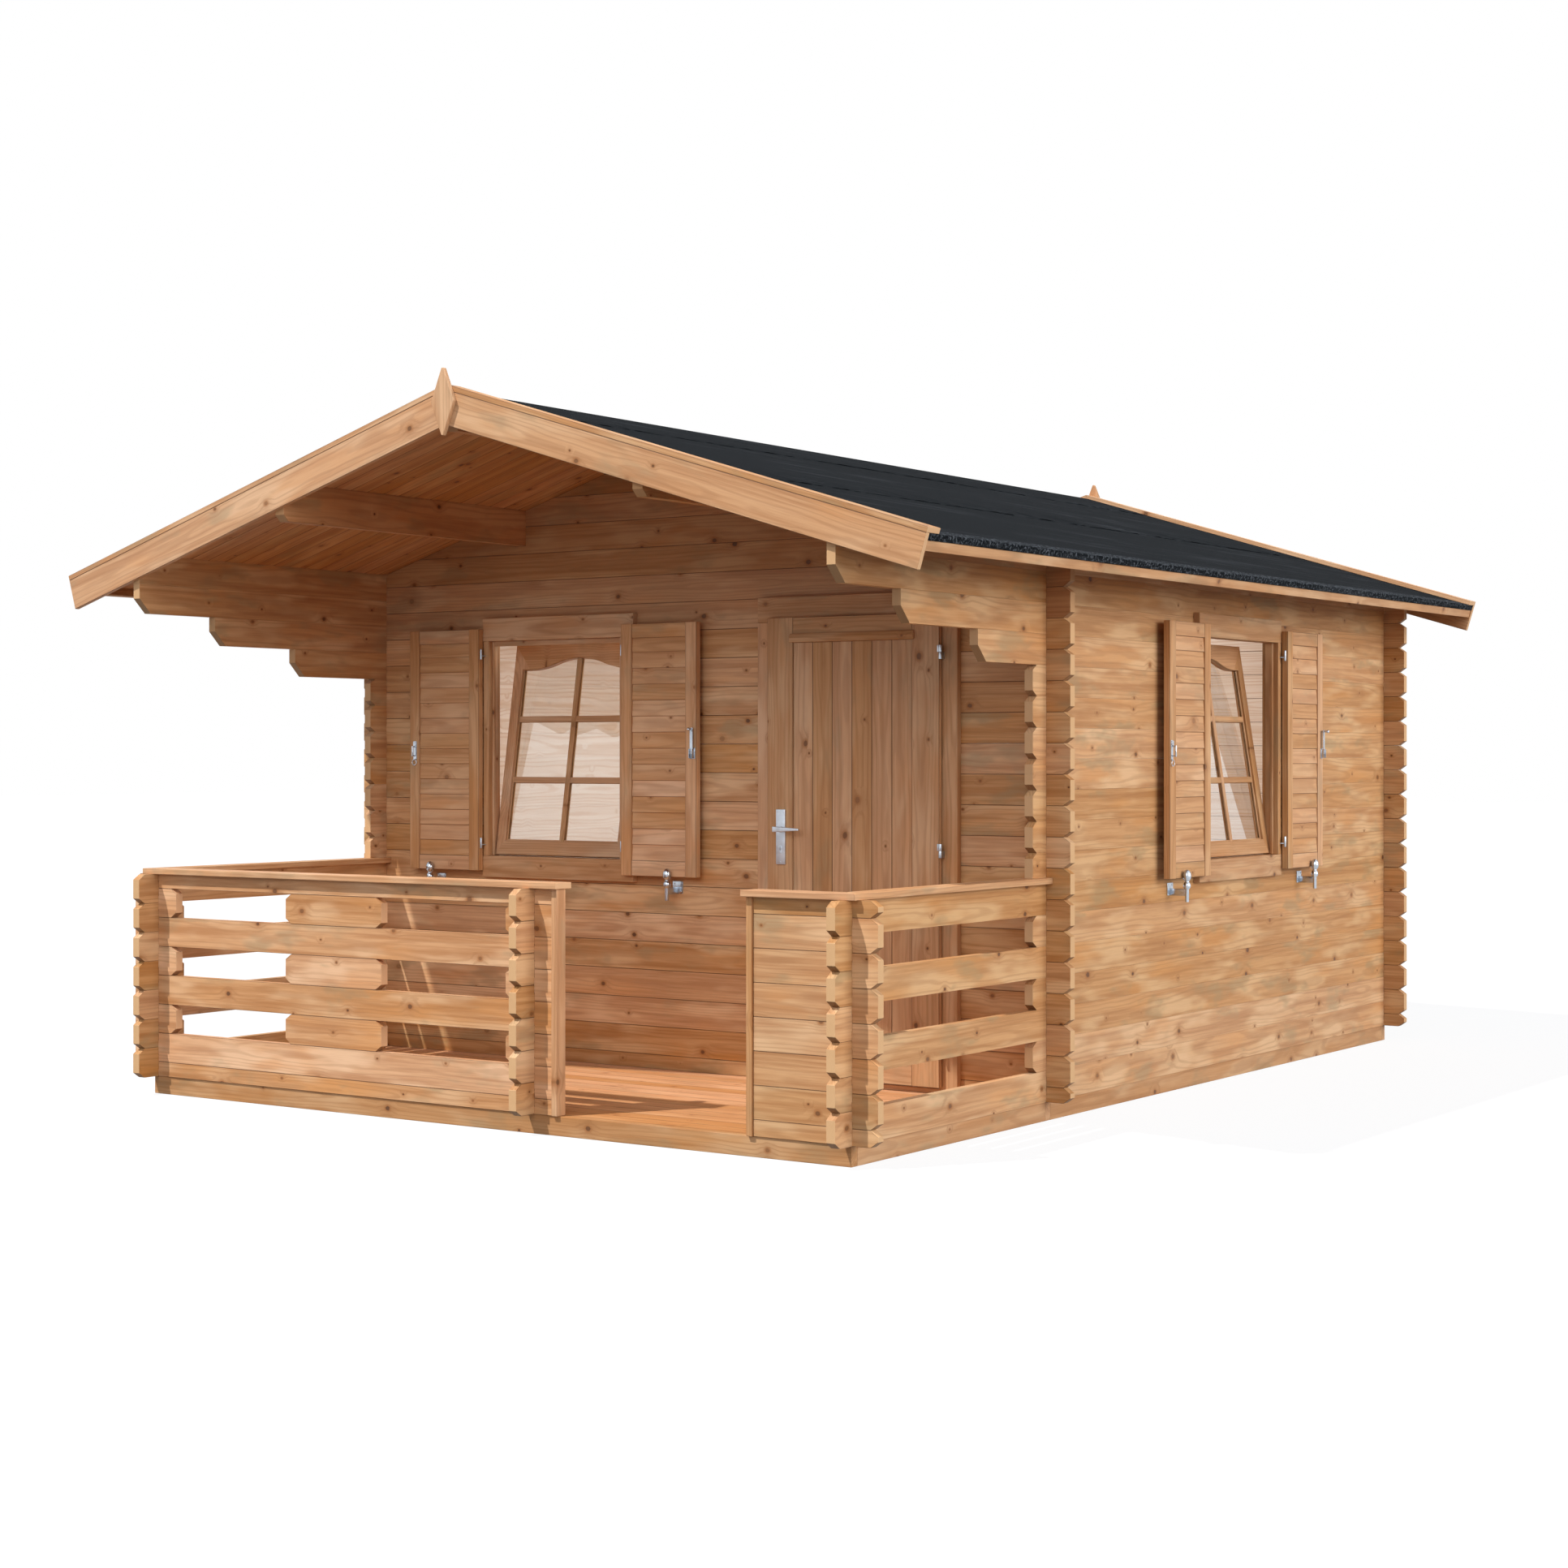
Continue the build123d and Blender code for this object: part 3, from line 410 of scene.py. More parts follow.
def soften(piece, width, segments=2, angle=30):
    """Rounds the piece's sharp edges."""
    take(piece)
    edge = piece.modifiers.new("edge", "BEVEL")
    edge.width = width
    edge.segments = segments
    edge.limit_method = "ANGLE"
    edge.angle_limit = math.radians(angle)
    bpy.ops.object.modifier_apply(modifier=edge.name)
    return piece


def smooth(piece, angle=40):
    """Shades the piece smooth up to an angle."""
    take(piece)
    bpy.ops.object.shade_smooth_by_angle(angle=math.radians(angle))
    return piece


def copy_of(node, name):
    """A merged copy of a CAD node's mesh, as a piece of its own."""
    piece = bpy.data.objects.new(name, NODES[node].data.copy())
    bpy.context.scene.collection.objects.link(piece)
    piece.data.materials.clear()
    take(piece)
    bpy.ops.object.mode_set(mode="EDIT")
    bpy.ops.mesh.select_all(action="SELECT")
    bpy.ops.mesh.remove_doubles(threshold=MERGE)
    bpy.ops.mesh.dissolve_limited(angle_limit=FLAT)
    bpy.ops.mesh.customdata_custom_splitnormals_clear()
    bpy.ops.object.mode_set(mode="OBJECT")
    bpy.ops.object.shade_flat()
    return piece


class Boards:
    """One piece made of boards, each a cube added at its size and place."""

    def __init__(self, name):
        self.name = name
        self.piece = None

    def open(self):
        """Opens this piece in edit mode with nothing selected."""
        if bpy.context.edit_object is not self.piece:
            take(self.piece)
            bpy.ops.object.mode_set(mode="EDIT")
        bpy.ops.mesh.select_all(action="DESELECT")

    def turned(self, middle, size, turn=(0, 0, 0)):
        """Adds a board by its middle, its size and its turn."""
        if self.piece is None:
            put_down()
        else:
            self.open()
        bpy.ops.mesh.primitive_cube_add(size=1, location=middle, rotation=turn, scale=size)
        if self.piece is None:
            self.piece = bpy.context.active_object
            self.piece.name = self.name
            bpy.ops.object.transform_apply(location=True, rotation=True, scale=True)
            bpy.ops.object.mode_set(mode="EDIT")

    def add(self, one, other):
        """Adds a straight board between two corners."""
        low = Vector(map(min, one, other))
        high = Vector(map(max, one, other))
        self.turned((low + high) / 2, high - low)

    def turn_up(self, foot, steps, sides=20):
        """Turns a round part upright: a disc is extruded and resized by steps of height and radius."""
        (low, wide), *rest = steps
        self.open()
        bpy.ops.mesh.primitive_circle_add(vertices=sides, radius=wide, fill_type="NGON",
                                          location=foot + UP * low)
        for height, radius in rest:
            share = radius / wide
            bpy.ops.mesh.extrude_region_move(TRANSFORM_OT_translate={"value": (0, 0, height - low)})
            bpy.ops.transform.resize(value=(share, share, 1), center_override=foot + UP * height)
            low, wide = height, radius

    def pin(self, one, other, radius, sides=16):
        """Adds a round bar between two points."""
        run = Vector(other) - Vector(one)
        self.open()
        bpy.ops.mesh.primitive_cylinder_add(vertices=sides, radius=radius, depth=run.length,
                                            location=(Vector(one) + Vector(other)) / 2,
                                            rotation=run.to_track_quat("Z", "Y").to_euler())

    def ball(self, middle, radius):
        """Adds a ball."""
        self.open()
        bpy.ops.mesh.primitive_uv_sphere_add(segments=16, ring_count=10, radius=radius, location=middle)

    def ring(self, middle, facing, radius, wire):
        """Adds a ring of round wire that faces one way."""
        self.open()
        turn = Vector(facing).to_track_quat("Z", "Y").to_euler()
        bpy.ops.mesh.primitive_torus_add(location=middle, rotation=turn, major_radius=radius,
                                         minor_radius=wire, major_segments=28, minor_segments=10)

    def done(self, edge, segments=2):
        """Rounds the boards' edges and hands the piece over."""
        self.open()
        bpy.ops.mesh.select_all(action="SELECT")
        bpy.ops.mesh.normals_make_consistent(inside=False)
        bpy.ops.object.mode_set(mode="OBJECT")
        return soften(self.piece, edge, segments)


def read(elements, key, width, kind):
    """One value, or one row of values, for each vertex, edge, face or corner."""
    values = np.empty(len(elements) * width, kind)
    elements.foreach_get(key, values)
    return values if width == 1 else values.reshape(-1, width)


def islands(mesh):
    """The place of each vertex, and the board that it belongs to."""
    place = read(mesh.vertices, "co", 3, np.float32).astype(float)
    first, second = read(mesh.edges, "vertices", 2, np.int32).T
    label = np.arange(len(place))
    while True:
        low = np.minimum(label[first], label[second])
        fresh = label.copy()
        np.minimum.at(fresh, first, low)
        np.minimum.at(fresh, second, low)
        fresh = fresh[fresh]
        if np.array_equal(fresh, label):
            return place, label
        label = fresh


def gather(label):
    """The members of each board, one list after the other."""
    order = np.argsort(label, kind="stable")
    return np.split(order, np.flatnonzero(np.diff(label[order])) + 1)


def deepen_noses(piece, depth):
    """Draws the chamfers at the logs' ends further in than the frame's."""
    place, label = islands(piece.data)
    moves = {}
    for mine in gather(label):
        local = place[mine]
        low, high = local.min(0), local.max(0)
        run = 0 if high[0] - low[0] > high[1] - low[1] else 1
        for end, inward in ((low[run], 1), (high[run], -1)):
            start = np.abs(np.abs(local[:, run] - end) - NOSE) < MM
            at_face = (local[:, 2] < low[2] + MM) | (local[:, 2] > high[2] - MM)
            moves.setdefault((run, inward), []).extend(mine[start & at_face])
    for (run, inward), chosen in moves.items():
        take(piece)
        mask = np.zeros(len(place), bool)
        mask[chosen] = True
        for part in (piece.data.vertices, piece.data.edges, piece.data.polygons):
            part.foreach_set("select", np.zeros(len(part), bool))
        piece.data.vertices.foreach_set("select", mask)
        bpy.ops.object.mode_set(mode="EDIT")
        bpy.ops.mesh.select_mode(type="VERT")
        shift = inward * (depth - NOSE)
        bpy.ops.transform.translate(value=(shift, 0, 0) if run == 0 else (0, shift, 0))
        bpy.ops.object.mode_set(mode="OBJECT")
    return piece


# How a face's direction sorts it: rounded edge, long side, sawn end, and the underside of a sawn end, with
# the strength of the painted shade laid on those undersides
ROUNDED = 0.985
LONG_SIDE = 0.35
SAWN_END = 0.6
UNDERSIDE = -0.4
PAINTED_UNDERSIDE_SHADE = 0.75

# Ranges of a board's own shift along, across and into the grain
SHIFTS = ((0, 60), (-0.03, 0.03), (0.03, 0.10))

# Numbers kept free for the members of one sash, of which the first are stiles and the rest rails
MEMBERS = 16
STILES = 2


def lay_grain(piece, seed, sloped=False, members=None):
    """Lays its own grain on each board: along, across and into it, with a shift and a tone of its own."""
    mesh = piece.data
    place, label = islands(mesh)
    corner = read(mesh.loops, "vertex_index", 1, np.int32)
    corners = read(mesh.polygons, "loop_total", 1, np.int32)
    facing = np.repeat(read(mesh.polygons, "normal", 3, np.float32), corners, axis=0)
    board = label[corner].astype(np.int64)
    if members is not None:
        middles = read(mesh.polygons, "center", 3, np.float32)
        which = np.array([members(Vector(middle)) for middle in middles])
        board = board * MEMBERS + np.repeat(which, corners)
    grain = np.empty((len(corner), 3), np.float32)
    tone, ends, seam = np.empty((3, len(corner)), np.float32)
    draw = random.Random(seed)
    for mine in gather(board):
        local = place[corner[mine]]
        axes = np.eye(3)
        if sloped:
            hand = 1 if local[:, 0].mean() > 0 else -1
            axes = np.array([[hand * math.cos(PITCH), 0, -math.sin(PITCH)], [0, 1, 0],
                             [hand * math.sin(PITCH), 0, math.cos(PITCH)]])
        local = local @ axes.T
        span = np.ptp(local, axis=0)
        if members is not None and board[mine[0]] % MEMBERS > STILES:
            span[2] = 0
        tilt = np.abs(facing[mine] @ axes.T)
        to_end = tilt[:, np.argmax(span)]
        local = local[:, np.argsort(-span, kind="stable")]
        local = local - (local.max(0) + local.min(0)) / 2
        grain[mine] = local + np.array([draw.uniform(low, high) for low, high in SHIFTS])
        tone[mine] = draw.random()
        ends[mine] = to_end > SAWN_END
        # Rounded long edges take the dark joint lines, partly the joint itself and partly painted shade in
        # the groove between boards
        seam[mine] = (tilt.max(1) < ROUNDED) & (to_end < LONG_SIDE)
        # Painted shade: the downward faces at a log's sawn end, its lower chamfers, are darkened as if in
        # shadow
        seam[mine] += PAINTED_UNDERSIDE_SHADE * ((to_end > LONG_SIDE) & (facing[mine, 2] < UNDERSIDE))
    mesh.attributes.new("grain", "FLOAT_VECTOR", "CORNER").data.foreach_set("vector", grain.ravel())
    for name, values in (("tone", tone), ("ends", ends), ("seam", seam)):
        mesh.attributes.new(name, "FLOAT", "CORNER").data.foreach_set("value", values)
    return piece


def hang(piece, body, slot, *nodes, coat=None):
    """Gives a piece its finish and its place in the frame."""
    piece.data.materials.clear()
    piece.data.materials.append(paint(coat or slot))
    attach(piece, body)
    if nodes:
        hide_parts(*nodes)
    return piece


def timber(node, slot, edge, sloped=False, body="cabin", coat=None):
    """A CAD node's timber with rounded edges and grain of its own."""
    piece = soften(copy_of(node, node + "_timber"), edge)
    lay_grain(piece, node, sloped)
    return hang(piece, body, slot, node, coat=coat)


class Wall:
    """A wall's own directions: along it, up it and out of it."""

    def __init__(self, middle, along, out):
        self.middle = Vector(middle)
        self.along = Vector(along)
        self.out = Vector(out)
        self.lean_axis = 0 if self.along.x else 1

    def at(self, x, z, out):
        """A point in millimetres along, up and out."""
        return self.middle + (self.along * x + UP * z + self.out * out) * MM

    def board(self, boards, x0, x1, z0, z1, out0, out1):
        """A straight board between two corners, in millimetres."""
        boards.add(self.at(x0, z0, out0), self.at(x1, z1, out1))

    def stud(self, boards, x, z, out0, out1, radius, sides=16):
        """A round part that stands out of the wall, placed in millimetres."""
        boards.pin(self.at(x, z, out0), self.at(x, z, out1), radius, sides)

    def size(self, wide, tall, thick):
        """A cube's scale for a board, in millimetres."""
        if self.lean_axis == 0:
            return Vector((wide, thick, tall)) * MM
        return Vector((thick, wide, tall)) * MM

    def turn(self, lean):
        """A cube's turn for a board whose head leans into the room."""
        return (-lean, 0, 0) if self.lean_axis == 0 else (0, -lean, 0)

    def leaning(self, boards, x, z, out, wide, tall, thick, lean):
        """A leaning board by its middle, in millimetres."""
        boards.turned(self.at(x, z, out), self.size(wide, tall, thick), self.turn(lean))


DOOR_WALL = Wall((0.836, CABIN_FRONT, 0), (1, 0, 0), (0, -1, 0))
WINDOW_WALLS = {
    "front": Wall((-0.655, CABIN_FRONT, 0), (1, 0, 0), (0, -1, 0)),
    "side": Wall((SIDE, 0.609, 0), (0, 1, 0), (1, 0, 0)),
}


# Stage

def seen_rays(wire):
    """1 where the camera, metal or glass looks, and 0 where a ray only brings light."""
    camera, glossy, through = (wire.node("LightPath", {}, {}, f"Is {kind} Ray")
                               for kind in ("Camera", "Glossy", "Transmission"))
    return wire.math("MAXIMUM", wire.math("MAXIMUM", camera, glossy), through)


class CABIN_OT_stage(bpy.types.Operator):
    """Camera, light and the pale floor."""
    bl_idname = "cabin.stage"
    bl_label = "Stage"
    eye = (6.2562, -9.4260, 1.3435)
    heading = 34.524
    lens, sensor, rise = 59.86, 36, -0.01946
    sight = 200
    white = (1, 1, 1, 1)
    sky, sky_strength = (0.93, 1.0, 1.25, 1), 0.31
    floor_width, floor_glow = 120, 0.90
    floor_bounce, floor_shade = (0.16, 0.155, 0.15, 1), (0.12, 0.12, 0.12, 1)

    # Place, direction, strength, and softness in degrees
    suns = (((-3, -6, 8), (0.310, 0.500, -0.800), 3.45, 1),
            ((8, 1, 3), (-0.97, -0.10, -0.20), 3.0, 50),
            ((3, -9, 4), (-0.30, 0.88, -0.38), 0.70, 40))

    # Fill in the room and under the veranda roof: place, direction, strength, size and colour
    panels = (((0, 0.6, 2.25), (0, 0, -1), 56, (1.7, 2.6), (0.90, 0.98, 1.0)),
              ((0.1, -2.2, 1.45), (0, 0.65, -0.76), 4.8, (2.8, 0.8), (0.85, 1.0, 1.3)))

    def execute(self, context):
        context.scene.view_settings.view_transform = "Standard"
        self.camera(context)
        self.light(context)
        self.world(context)
        self.floor(context)
        return {"FINISHED"}

    def camera(self, context):
        """A level camera at the photograph's viewing angle."""
        put_down()
        turn = (math.radians(90), 0, math.radians(self.heading))
        bpy.ops.object.camera_add(location=self.eye, rotation=turn)
        camera = context.active_object
        camera.data.lens = self.lens
        camera.data.sensor_width = self.sensor
        camera.data.shift_y = self.rise
        camera.data.clip_end = self.sight
        context.scene.camera = camera

    @staticmethod
    def lamp(context, kind, spot, towards, power):
        """A lamp that shines one way."""
        bpy.ops.object.light_add(type=kind, location=spot)
        lamp = context.active_object
        lamp.rotation_euler = Vector(towards).to_track_quat("-Z", "Y").to_euler()
        lamp.data.energy = power
        return lamp

    def light(self, context):
        """The suns, and the fill panels, which nothing shows."""
        put_down()
        for spot, towards, power, softness in self.suns:
            self.lamp(context, "SUN", spot, towards, power).data.angle = math.radians(softness)
        for spot, towards, power, (wide, tall), tint in self.panels:
            lamp = self.lamp(context, "AREA", spot, towards, power)
            lamp.data.shape = "RECTANGLE"
            lamp.data.size = wide
            lamp.data.size_y = tall
            lamp.data.color = tint
            lamp.visible_camera = False
            lamp.visible_glossy = False
            lamp.visible_transmission = False

    def world(self, context):
        """A pale sky that lights softly and is seen as white."""
        world = bpy.data.worlds.new("studio")
        context.scene.world = world
        world.use_nodes = True
        seen = seen_rays(Wire(world.node_tree))
        back = world.node_tree.nodes["Background"]
        feed(back, "Color", seen.mix(self.sky, self.white))
        feed(back, "Strength", self.sky_strength + (1 - self.sky_strength) * seen)

    def floor(self, context):
        """A floor that is seen almost white and keeps the shadow."""
        put_down()
        bpy.ops.mesh.primitive_plane_add(size=self.floor_width, location=(0, 0, 0))
        floor = context.active_object
        floor.name = "studio_floor"
        made, wire, shader = finish("studio_floor")
        made.node_tree.nodes.remove(shader)
        bounce = wire.node("BsdfDiffuse", {}, {"Color": self.floor_bounce})
        glow = wire.node("Emission", {}, {"Color": self.white, "Strength": self.floor_glow})
        shade = wire.node("BsdfDiffuse", {}, {"Color": self.floor_shade})
        shown = wire.node("AddShader", {}, {0: glow, 1: shade})
        both = wire.node("MixShader", {}, {0: seen_rays(wire), 1: bounce, 2: shown})
        feed(made.node_tree.nodes["Material Output"], "Surface", both)
        floor.data.materials.append(made)


# Walls, floor and roof

LOG_NODES = ("left_wall", "right_wall", "front_wall_left", "front_wall_right", "front_gable", "rear_wall",
             "rear_gable", "veranda_front_left_panel", "veranda_front_right_panel", "veranda_rail_stubs",
             "veranda_pilaster")


class CABIN_OT_logs(bpy.types.Operator):
    """Log walls, gables, veranda panels, purlins, bearers and rails."""
    bl_idname = "cabin.logs"
    bl_label = "Log walls"
    # The front gable takes a darker copy of the pine as painted shade under the roof
    coats = {"front_gable": "gable_wood", "veranda_front_left_panel": "panel_wood"}

    def execute(self, context):
        sizes = context.scene.cabin_sizes
        for node in LOG_NODES:
            logs = deepen_noses(copy_of(node, node + "_timber"), sizes.nose_depth)
            lay_grain(soften(logs, sizes.log_edge), node)
            hang(logs, "cabin", "log_wood", node, coat=self.coats.get(node))
        for node in ("ridge_purlin", "side_purlins"):
            timber(node, "roof_wood", sizes.log_edge)
        for node in ("bearers", "floor_joists"):
            timber(node, "bearer_wood", sizes.trim_edge)
        for node in ("handrail_left", "handrail_right", "entry_jamb_boards"):
            timber(node, "trim_wood", sizes.trim_edge)
        return {"FINISHED"}


def rows(low, high, wide):
    """How many boards of about that width lie between two places, and the step from one to the next."""
    count = round((high - low) / wide)
    return count, (high - low) / count


class CABIN_OT_floors(bpy.types.Operator):
    """Floor boards of the veranda and the cabin."""
    bl_idname = "cabin.floors"
    bl_label = "Floor boards"

    def execute(self, context):
        sizes = context.scene.cabin_sizes
        half_gap = sizes.board_gap / 2
        for node in ("veranda_floor", "cabin_floor"):
            low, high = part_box(node)
            count, step = rows(low.y, high.y, sizes.floor_board)
            boards = Boards(node + "_boards")
            for k in range(count):
                front = low.y + k * step
                boards.add((low.x, front + half_gap, low.z), (high.x, front + step - half_gap, high.z))
            piece = boards.done(sizes.trim_edge)
            lay_grain(piece, node)
            hang(piece, "cabin", "floor_wood", node)
        return {"FINISHED"}


def on_slope(hand, along, y, lift):
    """A point on the roof: down the slope from the ridge, along the cabin, and out of the boards."""
    return Vector((hand * (along * math.cos(PITCH) + lift * math.sin(PITCH)), y,
                   RIDGE - along * math.sin(PITCH) + lift * math.cos(PITCH)))


class CABIN_OT_roof(bpy.types.Operator):
    """Roof boards, eave strips, barge boards, caps and finials."""
    bl_idname = "cabin.roof"
    bl_label = "Roof timber"
    slope_length = 2.0599
    ridge_gap = 0.005
    eave_gap = 0.001
    board_thick = 0.022
    face_gap = 0.0004

    def execute(self, context):
        sizes = context.scene.cabin_sizes
        along = (self.slope_length + self.ridge_gap - self.eave_gap) / 2
        for node, hand in (("roof_boards_left", -1), ("roof_boards_right", 1)):
            low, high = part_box(node)
            count, step = rows(low.y, high.y, sizes.roof_board)
            size = (self.slope_length - self.ridge_gap - self.eave_gap, step - sizes.board_gap,
                    self.board_thick - self.face_gap)
            boards = Boards(node + "_planks")
            for k in range(count):
                middle = on_slope(hand, along, low.y + (k + 0.5) * step, self.board_thick / 2)
                boards.turned(middle, size, (0, hand * PITCH, 0))
            piece = boards.done(sizes.trim_edge)
            lay_grain(piece, node, sloped=True)
            hang(piece, "cabin", "roof_wood", node)
        for node in ("front_barge_boards", "rear_barge_boards", "barge_caps"):
            timber(node, "trim_wood", sizes.trim_edge, sloped=True, coat="barge_wood")
        for node in ("eave_strips", "finials"):
            timber(node, "trim_wood", sizes.trim_edge)
        return {"FINISHED"}


class CABIN_OT_felt(bpy.types.Operator):
    """Roof felt: the sheet with its turned-down edge, and the strips that lap over it."""
    bl_idname = "cabin.felt"
    bl_label = "Roof felt"
    sheet_edge, sheet_segments = 0.004, 3
    columns, lengths = 4, 140
    ragged_band, ragged = 0.01, 0.0025
    first_seed = 3

    # Head and foot of each strip down the slope, and its lift over the boards
    strips = ((0.300, 1.237, 0.0281), (-0.002, 0.372, 0.0296))

    def execute(self, context):
        for node, hand in (("roof_felt_left", -1), ("roof_felt_right", 1)):
            sheet = soften(copy_of(node, node + "_sheet"), self.sheet_edge, self.sheet_segments)
            hang(sheet, "cabin", "roof_felt", node)
            for number in range(len(self.strips)):
                hang(self.strip(context, node, hand, number), "cabin", "roof_felt")
        return {"FINISHED"}

    def strip(self, context, node, hand, number):
        """One strip of felt whose lower edge lies a little unevenly."""
        low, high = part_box(node)
        top, foot, lift = self.strips[number]
        put_down()
        middle = on_slope(hand, (top + foot) / 2, (low.y + high.y) / 2, lift)
        bpy.ops.mesh.primitive_grid_add(x_subdivisions=self.columns, y_subdivisions=self.lengths, size=1,
                                        location=middle, rotation=(0, hand * PITCH, 0))
        strip = context.active_object
        strip.scale = (foot - top, high.y - low.y, 1)
        strip.name = f"{node}_strip_{number + 1}"
        bpy.ops.object.transform_apply(location=True, rotation=True, scale=True)
        bpy.ops.object.mode_set(mode="EDIT")
        bpy.ops.mesh.select_all(action="DESELECT")
        bpy.ops.object.mode_set(mode="OBJECT")
        edge = (foot - self.ragged_band) * math.cos(PITCH)
        for vertex in strip.data.vertices:
            vertex.select = hand * vertex.co.x > edge
        bpy.ops.object.mode_set(mode="EDIT")
        bpy.ops.transform.vertex_random(offset=self.ragged, uniform=1.0, normal=0.0,
                                        seed=number * 2 + hand + self.first_seed)
        bpy.ops.object.mode_set(mode="OBJECT")
        thick = strip.modifiers.new("ply", "SOLIDIFY")
        thick.thickness = context.scene.cabin_sizes.felt_ply
        thick.offset = 1
        bpy.ops.object.modifier_apply(modifier=thick.name)
        return strip


# Door

# Joinery round the openings, in millimetres out of the wall, and the joint left between two boards
CASING = (0.4, 28)
LINING = (-34, 0)
INNER_TRIM = (-46, -34.4)
LINING_THICK = 19.6
JOINT = 0.4


class CABIN_OT_door(bpy.types.Operator):
    """Door frame, leaf, planks and drip rail."""
    bl_idname = "cabin.door"
    bl_label = "Door"
    sill, head = 70, 1855
    clear_half = 375
    casing_half, casing_top = 454, 1952
    leaf_half, leaf_low, leaf_top = 390, 96, 1870
    panel_half, panel_low, panel_top = 270, 266, 1773
    leaf_out, panel_out, back_out = (33, 53), (33, 44.6), (10, 32.8)
    back_count, back_wide, back_top = 6, 123, 1849
    play = 0.3
    plank_edge, drip_edge = 0.003, 0.004

    def surround(self, boards, half, top, out):
        """Two posts and a head board round the doorway."""
        for hand in (-1, 1):
            DOOR_WALL.board(boards, hand * half, hand * self.clear_half, self.sill, self.head - JOINT, *out)
        DOOR_WALL.board(boards, -half, half, self.head, top, *out)

    def execute(self, context):
        sizes = context.scene.cabin_sizes
        boards = Boards("door_frame_boards")
        self.surround(boards, self.casing_half, self.casing_top, CASING)
        self.surround(boards, self.casing_half, self.casing_top, INNER_TRIM)
        self.surround(boards, self.clear_half + LINING_THICK, self.head + LINING_THICK, LINING)
        piece = boards.done(sizes.trim_edge)
        lay_grain(piece, "door_frame")
        hang(piece, "cabin", "frame_wood", "door_frame")
        timber("door_threshold", "frame_wood", sizes.trim_edge)

        boards = Boards("door_leaf_boards")
        half = self.panel_half
        for hand in (-1, 1):
            DOOR_WALL.board(boards, hand * self.leaf_half, hand * (half + self.play), self.leaf_low,
                            self.leaf_top, *self.leaf_out)
        for low, top, out in ((self.panel_top, self.leaf_top, self.leaf_out),
                              (self.leaf_low, self.panel_low, self.leaf_out),
                              (self.panel_low + self.play, self.panel_top - self.play, self.panel_out)):
            DOOR_WALL.board(boards, -half, half, low, top, *out)
        for k in range(self.back_count):
            x = (k - self.back_count / 2) * self.back_wide
            DOOR_WALL.board(boards, x + 2 * self.play, x + self.back_wide - 2 * self.play, self.leaf_low,
                            self.back_top, *self.back_out)
        piece = boards.done(sizes.trim_edge)
        lay_grain(piece, "door_leaf")
        hang(piece, "door", "door_wood", "door_leaf")
        planks = timber("door_planks", "door_wood", self.plank_edge, body="door")
        planks.name = "door_plank_boards"
        timber("door_drip_rail", "door_wood", self.drip_edge, body="door", coat="frame_wood")
        return {"FINISHED"}


